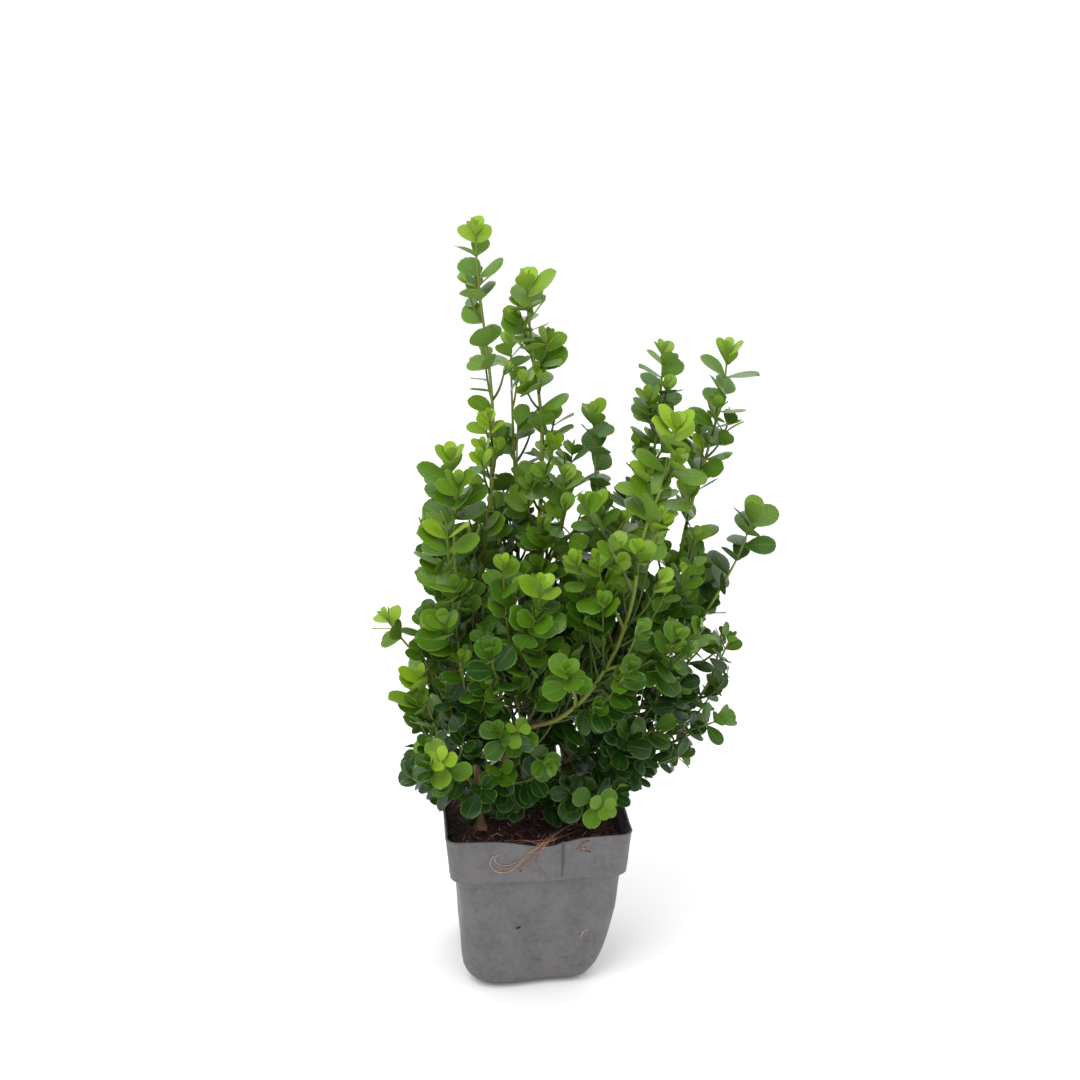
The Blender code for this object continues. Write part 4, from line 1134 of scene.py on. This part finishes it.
def slack(point):
    """Where a point of the soft pot has sagged to: dents, a dip in the front rim and a crease."""
    x, y, z = point
    sag = noise.noise(point * 26) * 0.0010 + noise.noise(point * 60 + Vector((3, 1, 7))) * 0.0005
    out = Vector((x, y, 0)).normalized() * sag
    front = min(max((-y - 0.030) / 0.02, 0), 1)
    high = min(max((z - 0.060) / 0.047, 0), 1)
    dip = 0.0042 * math.exp(-(((x - 0.003) / 0.016) ** 2)) + 0.0010 * math.exp(-(((x + 0.014) / 0.016) ** 2))
    crease = math.exp(-(((x - CREASE) / CREASE_WIDE) ** 2)) * min(max((z - 0.0795) / 0.002, 0), 1)
    bulge = math.exp(-(((x - 0.002) / 0.012) ** 2)) * high
    out += Vector((0, front * (0.0016 * crease - 0.0012 * bulge), -front * dip * high**2))
    low = min(max(1 - z / 0.05, 0), 1)
    foot = max(1 - z / 0.034, 0) ** 2
    aside = -0.0022 * low * min(z / 0.006, 1) - 0.0084 * max(x, 0) / BODY_FOOT_HALF * foot
    ahead = -(0.0018 + 0.0036 * math.exp(-(((x + 0.018) / 0.018) ** 2))) * max(-y, 0) / BODY_FOOT_HALF * foot
    return point + out * min(z / 0.006, 1) + Vector((aside, ahead, 0))


def ring_mesh(levels):
    """A closed skin through rings of points, with a face at each end."""
    bm = bmesh.new()
    rings = [[bm.verts.new(point) for point in level] for level in levels]
    for low, high in zip(rings, rings[1:]):
        for i in range(len(low)):
            bm.faces.new((low[i - 1], low[i], high[i], high[i - 1]))
    bm.faces.new(rings[0])
    bm.faces.new(rings[-1])
    bmesh.ops.recalc_face_normals(bm, faces=bm.faces)
    for face in bm.faces:
        face.smooth = True
    mesh = bpy.data.meshes.new("rings")
    bm.to_mesh(mesh)
    bm.free()
    return mesh


def shrink(level, depth):
    half, corner, height = level
    return half - depth, max(corner - depth, 0.001), height


def pot_levels():
    outside = pot_profile()
    under = [(outside[0][0] * s, outside[0][1] * s, 0) for s in (0.25, 0.55, 0.85)]
    lip = [
        (RIM_HALF + 0.0002, RIM_CORNER, POT_HEIGHT - 0.0005),
        (RIM_HALF - 0.0001, RIM_CORNER, POT_HEIGHT),
        (RIM_HALF - LIP * 0.8, RIM_CORNER - LIP * 0.8, POT_HEIGHT),
        (RIM_HALF - LIP, RIM_CORNER - LIP, POT_HEIGHT - 0.0006),
    ]
    inside = [shrink(level, WALL) for level in outside[:0:-1] if level[2] > WALL * 2]
    floor = [(inside[-1][0] * s, inside[-1][1] * s, WALL) for s in (0.9, 0.55, 0.25)]
    return under + outside + lip + inside + floor


def soil_levels():
    """The soil's sides, and its top as rings that rise and fall with a noise."""
    sides = [shrink(level, WALL + GAP) for level in pot_profile() if 0.0015 < level[2] < SOIL_TOP - 0.004]
    rings = [square_ring(*level) for level in [(sides[0][0] * 0.3, sides[0][1] * 0.3, 0.0014), *sides]]
    rings = [[slack(point) for point in ring] for ring in rings]
    half, corner = BODY_TOP_HALF + 0.0035, corner_at(SOIL_TOP) - WALL
    for share in np.linspace(1, 0.02, 34):
        ring = []
        for point in square_ring(half * share, corner * share, SOIL_TOP):
            drop = SOIL_SLOPE_DROP * max(0, (share - 0.82) / 0.18)
            rough = noise.fractal(point * 95, 1, 2, 4) * 0.0019 + noise.noise(point * 420) * 0.0006
            ring.append(point + UP * (rough - drop - 0.0004))
        rings.append(ring)
    return rings


def chip_models():
    """Splinters, bark flakes and crumbs of unit size."""
    shapes = ((1.0, 0.09, 0.06), (1.0, 0.14, 0.08), (1.0, 0.06, 0.05), (0.8, 0.35, 0.10), (0.5, 0.4, 0.3))
    meshes = []
    for number, size in enumerate(shapes):
        bm = bmesh.new()
        bmesh.ops.create_icosphere(bm, subdivisions=1, radius=0.5)
        for vert in bm.verts:
            swell = 1 + 0.5 * noise.noise(vert.co * 2.2 + Vector((number * 7, 0, 0)))
            vert.co = Vector((vert.co.x * size[0], vert.co.y * size[1], vert.co.z * size[2])) * swell
            vert.co.y += 0.12 * vert.co.x**2 * (number - 1)
        mesh = bpy.data.meshes.new(f"chip_{number}")
        bm.to_mesh(mesh)
        bm.free()
        meshes.append(mesh)
    return meshes


def smooth_path(corners, steps=7):
    """A smooth path through the corners."""
    path = [corners[0]]
    for i, (a, b) in enumerate(zip(corners, corners[1:])):
        before, after = corners[max(i - 1, 0)], corners[min(i + 2, len(corners) - 1)]
        path += interpolate_bezier(a, a + (b - before) / 6, b - (after - a) / 6, b, steps)[1:]
    return path


# Settings


class BOXWOOD_looks(bpy.types.PropertyGroup):
    """Colours and sizes that a user may change."""

    leaf_length: bpy.props.FloatProperty(
        name="Leaf length", description="Length of a grown leaf", default=0.0215, unit="LENGTH"
    )
    chips: bpy.props.IntProperty(name="Bark flakes", description="Flakes and crumbs on the soil", default=2600)
    # Darkest green of the ramp: old leaves, darkened further as painted shade for leaves low in the crown
    old_and_shaded_leaf: bpy.props.FloatVectorProperty(
        name="Old leaf", description="Deep green of shaded leaves", subtype="COLOR", default=linear(24, 58, 8)
    )
    grown_leaf: bpy.props.FloatVectorProperty(
        name="Grown leaf", description="Middle green", subtype="COLOR", default=linear(66, 105, 10)
    )
    young_leaf: bpy.props.FloatVectorProperty(
        name="Young leaf", description="Light green", subtype="COLOR", default=linear(96, 132, 24)
    )
    tip_leaf: bpy.props.FloatVectorProperty(
        name="Tip leaf", description="Yellow-green of the newest leaves", subtype="COLOR", default=linear(134, 168, 32)
    )
    leaf_underside: bpy.props.FloatVectorProperty(
        name="Underside", description="Paler green beneath", subtype="COLOR", default=linear(120, 150, 68)
    )
    bark: bpy.props.FloatVectorProperty(
        name="Bark", description="Tan bark of the stems", subtype="COLOR", default=linear(138, 108, 74)
    )
    green_wood: bpy.props.FloatVectorProperty(
        name="Green wood", description="Young twigs", subtype="COLOR", default=linear(126, 140, 46)
    )
    pot: bpy.props.FloatVectorProperty(
        name="Pot", description="Grey plastic", subtype="COLOR", default=linear(90, 88, 90)
    )
    soil: bpy.props.FloatVectorProperty(
        name="Soil", description="Dark potting mix", subtype="COLOR", default=linear(46, 23, 21)
    )


class BOXWOOD_view(bpy.types.PropertyGroup):
    """Camera and light."""

    eye: bpy.props.FloatVectorProperty(
        name="Eye", description="Where the camera stands", subtype="TRANSLATION", default=EYE
    )
    pitch: bpy.props.FloatProperty(
        name="Pitch", description="How far it looks down", subtype="ANGLE", default=math.radians(17)
    )
    turn: bpy.props.FloatProperty(
        name="Turn", description="How far it looks to the right", subtype="ANGLE", default=math.radians(6)
    )
    lens: bpy.props.FloatProperty(name="Lens", description="Focal length in millimetres", default=52.9)


# Operators


class BOXWOOD_OT_pot(bpy.types.Operator):
    """Soft square pot with a stepped band, sagged rim and drain holes"""

    bl_idname, bl_label = "boxwood.pot", "Pot"

    def execute(self, context):
        levels = [[slack(point) for point in square_ring(*level)] for level in pot_levels()]
        pot = add_piece("pot_shell", ring_mesh(levels), pot_finish(context.scene.boxwood_looks))
        cutters = bpy.data.collections.new("drains")
        for across in (-DRAIN_PLACE, DRAIN_PLACE):
            for along in (-DRAIN_PLACE, DRAIN_PLACE):
                bm = bmesh.new()
                spot = Matrix.Translation((across, along, 0))
                bmesh.ops.create_cone(
                    bm, cap_ends=True, segments=24, radius1=DRAIN_RADIUS, radius2=DRAIN_RADIUS, depth=0.006, matrix=spot
                )
                mesh = bpy.data.meshes.new("drain")
                bm.to_mesh(mesh)
                bm.free()
                cutters.objects.link(bpy.data.objects.new("drain", mesh))
        cut = pot.modifiers.new("drains", "BOOLEAN")
        cut.operation, cut.operand_type, cut.collection = "DIFFERENCE", "COLLECTION", cutters
        graph = context.evaluated_depsgraph_get()
        pot.data = bpy.data.meshes.new_from_object(pot.evaluated_get(graph))
        pot.modifiers.clear()
        drop_models(cutters)
        place_piece(pot, "pot", "pot")
        return {"FINISHED"}


class BOXWOOD_OT_soil(bpy.types.Operator):
    """Potting mix with bark flakes and crumbs"""

    bl_idname, bl_label = "boxwood.soil", "Soil"

    def execute(self, context):
        looks = context.scene.boxwood_looks
        soil = add_piece("soil_bed", ring_mesh(soil_levels()), soil_finish(looks))
        place_piece(soil, "soil", "soil")
        litter = litter_finish(looks)
        draws = random.Random(11)
        shape = BVHTree.FromObject(soil, context.evaluated_depsgraph_get())
        places, sizes, models, tones = [], [], [], []
        half = BODY_TOP_HALF + 0.001
        while len(places) < looks.chips:
            spot = Vector((draws.uniform(-half, half), draws.uniform(-half, half), POT_HEIGHT))
            hit, normal = shape.ray_cast(spot, -UP)[:2]
            if hit is None:
                continue
            place = normal.to_track_quat("Z", "X").to_matrix().to_4x4()
            place = place @ Matrix.Rotation(draws.uniform(0, math.tau), 4, "Z")
            place = place @ Matrix.Rotation(draws.gauss(0, 0.35), 4, "Y")
            place.translation = hit + normal * 0.0002
            places.append(place)
            model = draws.choice((0, 0, 1, 2, 2, 3, 4, 4))
            long = model < 3
            sizes.append((0.0032 if long else 0.0012) + (0.0080 if long else 0.0030) * draws.random() ** 2)
            models.append(model)
            tones.append(draws.betavariate(2.2, 3.2) if draws.random() < 0.985 else 1.0)
        group = hidden_models("chip", chip_models())
        values = {"Models": group, "Material": litter}
        flakes = run_tree("bark_flakes", points_mesh(places, sizes, models, tones), scatter_tree(), values)
        drop_models(group)
        place_piece(flakes, "soil")
        return {"FINISHED"}


class BOXWOOD_OT_roots(bpy.types.Operator):
    """Loose root fibres over the front rim, and bits of soil stuck to the pot"""

    bl_idname, bl_label = "boxwood.roots", "Loose roots"

    def execute(self, context):
        looks = context.scene.boxwood_looks
        pot = bpy.data.objects["pot_shell"]
        shape = BVHTree.FromObject(pot, context.evaluated_depsgraph_get())
        litter = litter_finish(looks)

        def on_front(x, z, lift):
            hit, normal = shape.ray_cast(Vector((x, -0.1, z)), Vector((0, 1, 0)))[:2]
            if hit is None or hit.y > 0:
                return Vector((x, -RIM_HALF - lift, z)), Vector((0, -1, 0))
            return hit + normal * lift, normal

        woods, tones = [], []
        for corners, thick, tone in ROOTS:
            path = smooth_path([Vector(corner) for corner in corners])
            path = [on_front(p.x, p.z, thick)[0] if p.y < -0.0535 else p for p in path]
            woods.append((Wood(path, thick * 0.9, thick * 0.55), (tone - 0.20, tone - 0.02), None))
        values = {"Sides": 5, "Relief": 0.3, "Grain": 900.0, "Material": litter}
        mesh = paths_mesh(woods)
        set_values(mesh, "tone", "FLOAT", [item.value for item in mesh.attributes["bark"].data])
        place_piece(run_tree("root_fibres", mesh, skin_tree(), values), "soil")

        places, sizes, models, tones = [], [], [], []
        for x, z, size, model, tone, turn in STUCK_BITS:
            spot, normal = on_front(x, z, size * 0.04)
            place = normal.to_track_quat("Z", "Y").to_matrix().to_4x4() @ Matrix.Rotation(math.radians(turn), 4, "Z")
            place.translation = spot
            places.append(place)
            sizes.append(size)
            models.append(model)
            tones.append(tone)
        group = hidden_models("bit", chip_models())
        values = {"Models": group, "Material": litter}
        bits = run_tree("stuck_bits", points_mesh(places, sizes, models, tones), scatter_tree(), values)
        drop_models(group)
        place_piece(bits, "soil")
        return {"FINISHED"}


class BOXWOOD_OT_limbs(bpy.types.Operator):
    """Stems and boughs with bark relief"""

    bl_idname, bl_label = "boxwood.limbs", "Stems and boughs"

    def execute(self, context):
        looks = context.scene.boxwood_looks
        limbs = grow_plant(looks.leaf_length)[0]
        finish = wood_finish(looks)
        tree = skin_tree()
        stems = [(limbs[name], (1.0, 0.8), limbs[name].path[0] - UP * 0.004) for name in STEMS]
        boughs = []
        for name, bough in BOUGHS.items():
            parent = limbs[bough.parent]
            bark = BARKS.get(name, (0.75, 0.3))
            boughs.append((limbs[name], bark, parent.place(parent.length * bough.at)[0]))
        for name, woods, slot in (("stems_bark", stems, "bark"), ("boughs_bark", boughs, "green_wood")):
            values = {"Sides": 14, "Relief": 0.5, "Grain": 420.0, "Material": finish}
            piece = run_tree(name, paths_mesh(woods), tree, values)
            place_piece(piece, slot, *(STEMS if slot == "bark" else BOUGHS))
        return {"FINISHED"}


class BOXWOOD_OT_twigs(bpy.types.Operator):
    """Leafy shoots, their side twigs and finer twigs"""

    bl_idname, bl_label = "boxwood.twigs", "Twigs"

    def execute(self, context):
        looks = context.scene.boxwood_looks
        limbs, woods, _ = grow_plant(looks.leaf_length)
        paths = []
        for name, twigs in woods.items():
            shoot = SHOOTS[name]
            parent = limbs[shoot.parent]
            root = parent.place(parent.length * shoot.at)[0]
            # Bark below 0 is painted shade: a little at the leaders' tips, much more on the side and finer twigs inside
            # the crown
            paths.append((twigs[0], (0.2, -0.2), root))
            paths += [(twig, (-0.8, -0.4), None) for twig in twigs[1:]]
        values = {"Sides": 6, "Relief": 0.2, "Grain": 500.0, "Material": wood_finish(looks)}
        piece = run_tree("twigs_green", paths_mesh(paths), skin_tree(), values)
        place_piece(piece, "green_wood")
        return {"FINISHED"}


class BOXWOOD_OT_leaves(bpy.types.Operator):
    """Opposite pairs of leaves on every twig, one piece for each colour of foliage"""

    bl_idname, bl_label = "boxwood.leaves", "Leaves"

    def execute(self, context):
        looks = context.scene.boxwood_looks
        leaves = grow_plant(looks.leaf_length)[2]
        group = hidden_models("leaf", [leaf_model(number) for number in range(LEAF_MODELS)])
        finish, tree = leaf_finish(looks), scatter_tree()
        for piece_name, (colour, behind) in LEAF_PIECES.items():
            names = [
                name for name, shoot in SHOOTS.items()
                if shoot.colour == colour and behind in (None, name.startswith("foliage_back"))
            ]
            dealt = [leaf for name in names for leaf in leaves[name]]
            columns = list(zip(*((leaf.place, leaf.length, leaf.model, leaf.tone) for leaf in dealt)))
            values = {"Models": group, "Material": finish}
            piece = run_tree(piece_name, points_mesh(*columns), tree, values)
            place_piece(piece, f"leaves_{colour}", *names)
        drop_models(group)
        return {"FINISHED"}


class BOXWOOD_OT_stage(bpy.types.Operator):
    """Pale floor, soft studio light and the camera"""

    bl_idname, bl_label = "boxwood.stage", "Stage"

    def execute(self, context):
        scene, view = context.scene, context.scene.boxwood_view
        floor_finish = Finish("pale floor", 0.9)
        floor_finish.shader.inputs["Base Color"].default_value = (0.93, 0.93, 0.93, 1)
        bm = bmesh.new()
        bmesh.ops.create_grid(bm, x_segments=1, y_segments=1, size=60)
        mesh = bpy.data.meshes.new("floor")
        bm.to_mesh(mesh)
        bm.free()
        add_piece("floor", mesh, floor_finish.material)
        lights = (
            ("key", (-0.6, -0.8, 1.6), 1.0, 13.5),
            ("fill", (1.2, -0.8, 0.9), 1.4, 2.5),
            ("back", (0.3, 1.2, 1.3), 1.2, 5),
        )
        for name, spot, size, power in lights:
            data = bpy.data.lights.new(name, "AREA")
            data.shape, data.size, data.energy = "SQUARE", size, power
            lamp = bpy.data.objects.new(name, data)
            lamp.location = spot
            lamp.rotation_euler = (Vector((0, 0, 0.22)) - Vector(spot)).to_track_quat("-Z", "Y").to_euler()
            scene.collection.objects.link(lamp)
        world = bpy.data.worlds.new("studio")
        world.use_nodes = True
        world.node_tree.nodes["Background"].inputs[0].default_value = (1, 1, 1, 1)
        world.node_tree.nodes["Background"].inputs[1].default_value = 1.1
        scene.world = world
        scene.view_settings.view_transform = "Standard"
        data = bpy.data.cameras.new("camera")
        data.lens = view.lens
        camera = bpy.data.objects.new("camera", data)
        camera.location = view.eye
        camera.rotation_euler = (math.radians(90) - view.pitch, 0, -view.turn)
        scene.collection.objects.link(camera)
        scene.camera = camera
        return {"FINISHED"}


class BOXWOOD_PT_panel(bpy.types.Panel):
    """Buttons for each group of pieces"""

    bl_idname, bl_label = "BOXWOOD_PT_panel", "Boxwood"
    bl_space_type, bl_region_type, bl_category = "VIEW_3D", "UI", "Boxwood"

    def draw(self, context):
        for settings in (context.scene.boxwood_looks, context.scene.boxwood_view):
            for name in settings.__annotations__:
                self.layout.prop(settings, name)
        for operator in OPERATORS:
            self.layout.operator(operator.bl_idname)


OPERATORS = (
    BOXWOOD_OT_pot,
    BOXWOOD_OT_soil,
    BOXWOOD_OT_roots,
    BOXWOOD_OT_limbs,
    BOXWOOD_OT_twigs,
    BOXWOOD_OT_leaves,
    BOXWOOD_OT_stage,
)
CLASSES = (BOXWOOD_looks, BOXWOOD_view, *OPERATORS, BOXWOOD_PT_panel)


def register():
    for item in CLASSES:
        bpy.utils.register_class(item)
    bpy.types.Scene.boxwood_looks = bpy.props.PointerProperty(type=BOXWOOD_looks)
    bpy.types.Scene.boxwood_view = bpy.props.PointerProperty(type=BOXWOOD_view)


def unregister():
    del bpy.types.Scene.boxwood_looks
    del bpy.types.Scene.boxwood_view
    for item in reversed(CLASSES):
        bpy.utils.unregister_class(item)


def main():
    register()
    for operator in OPERATORS:
        group, action = operator.bl_idname.split(".")
        getattr(getattr(bpy.ops, group), action)()


if __name__ == "__main__":
    main()
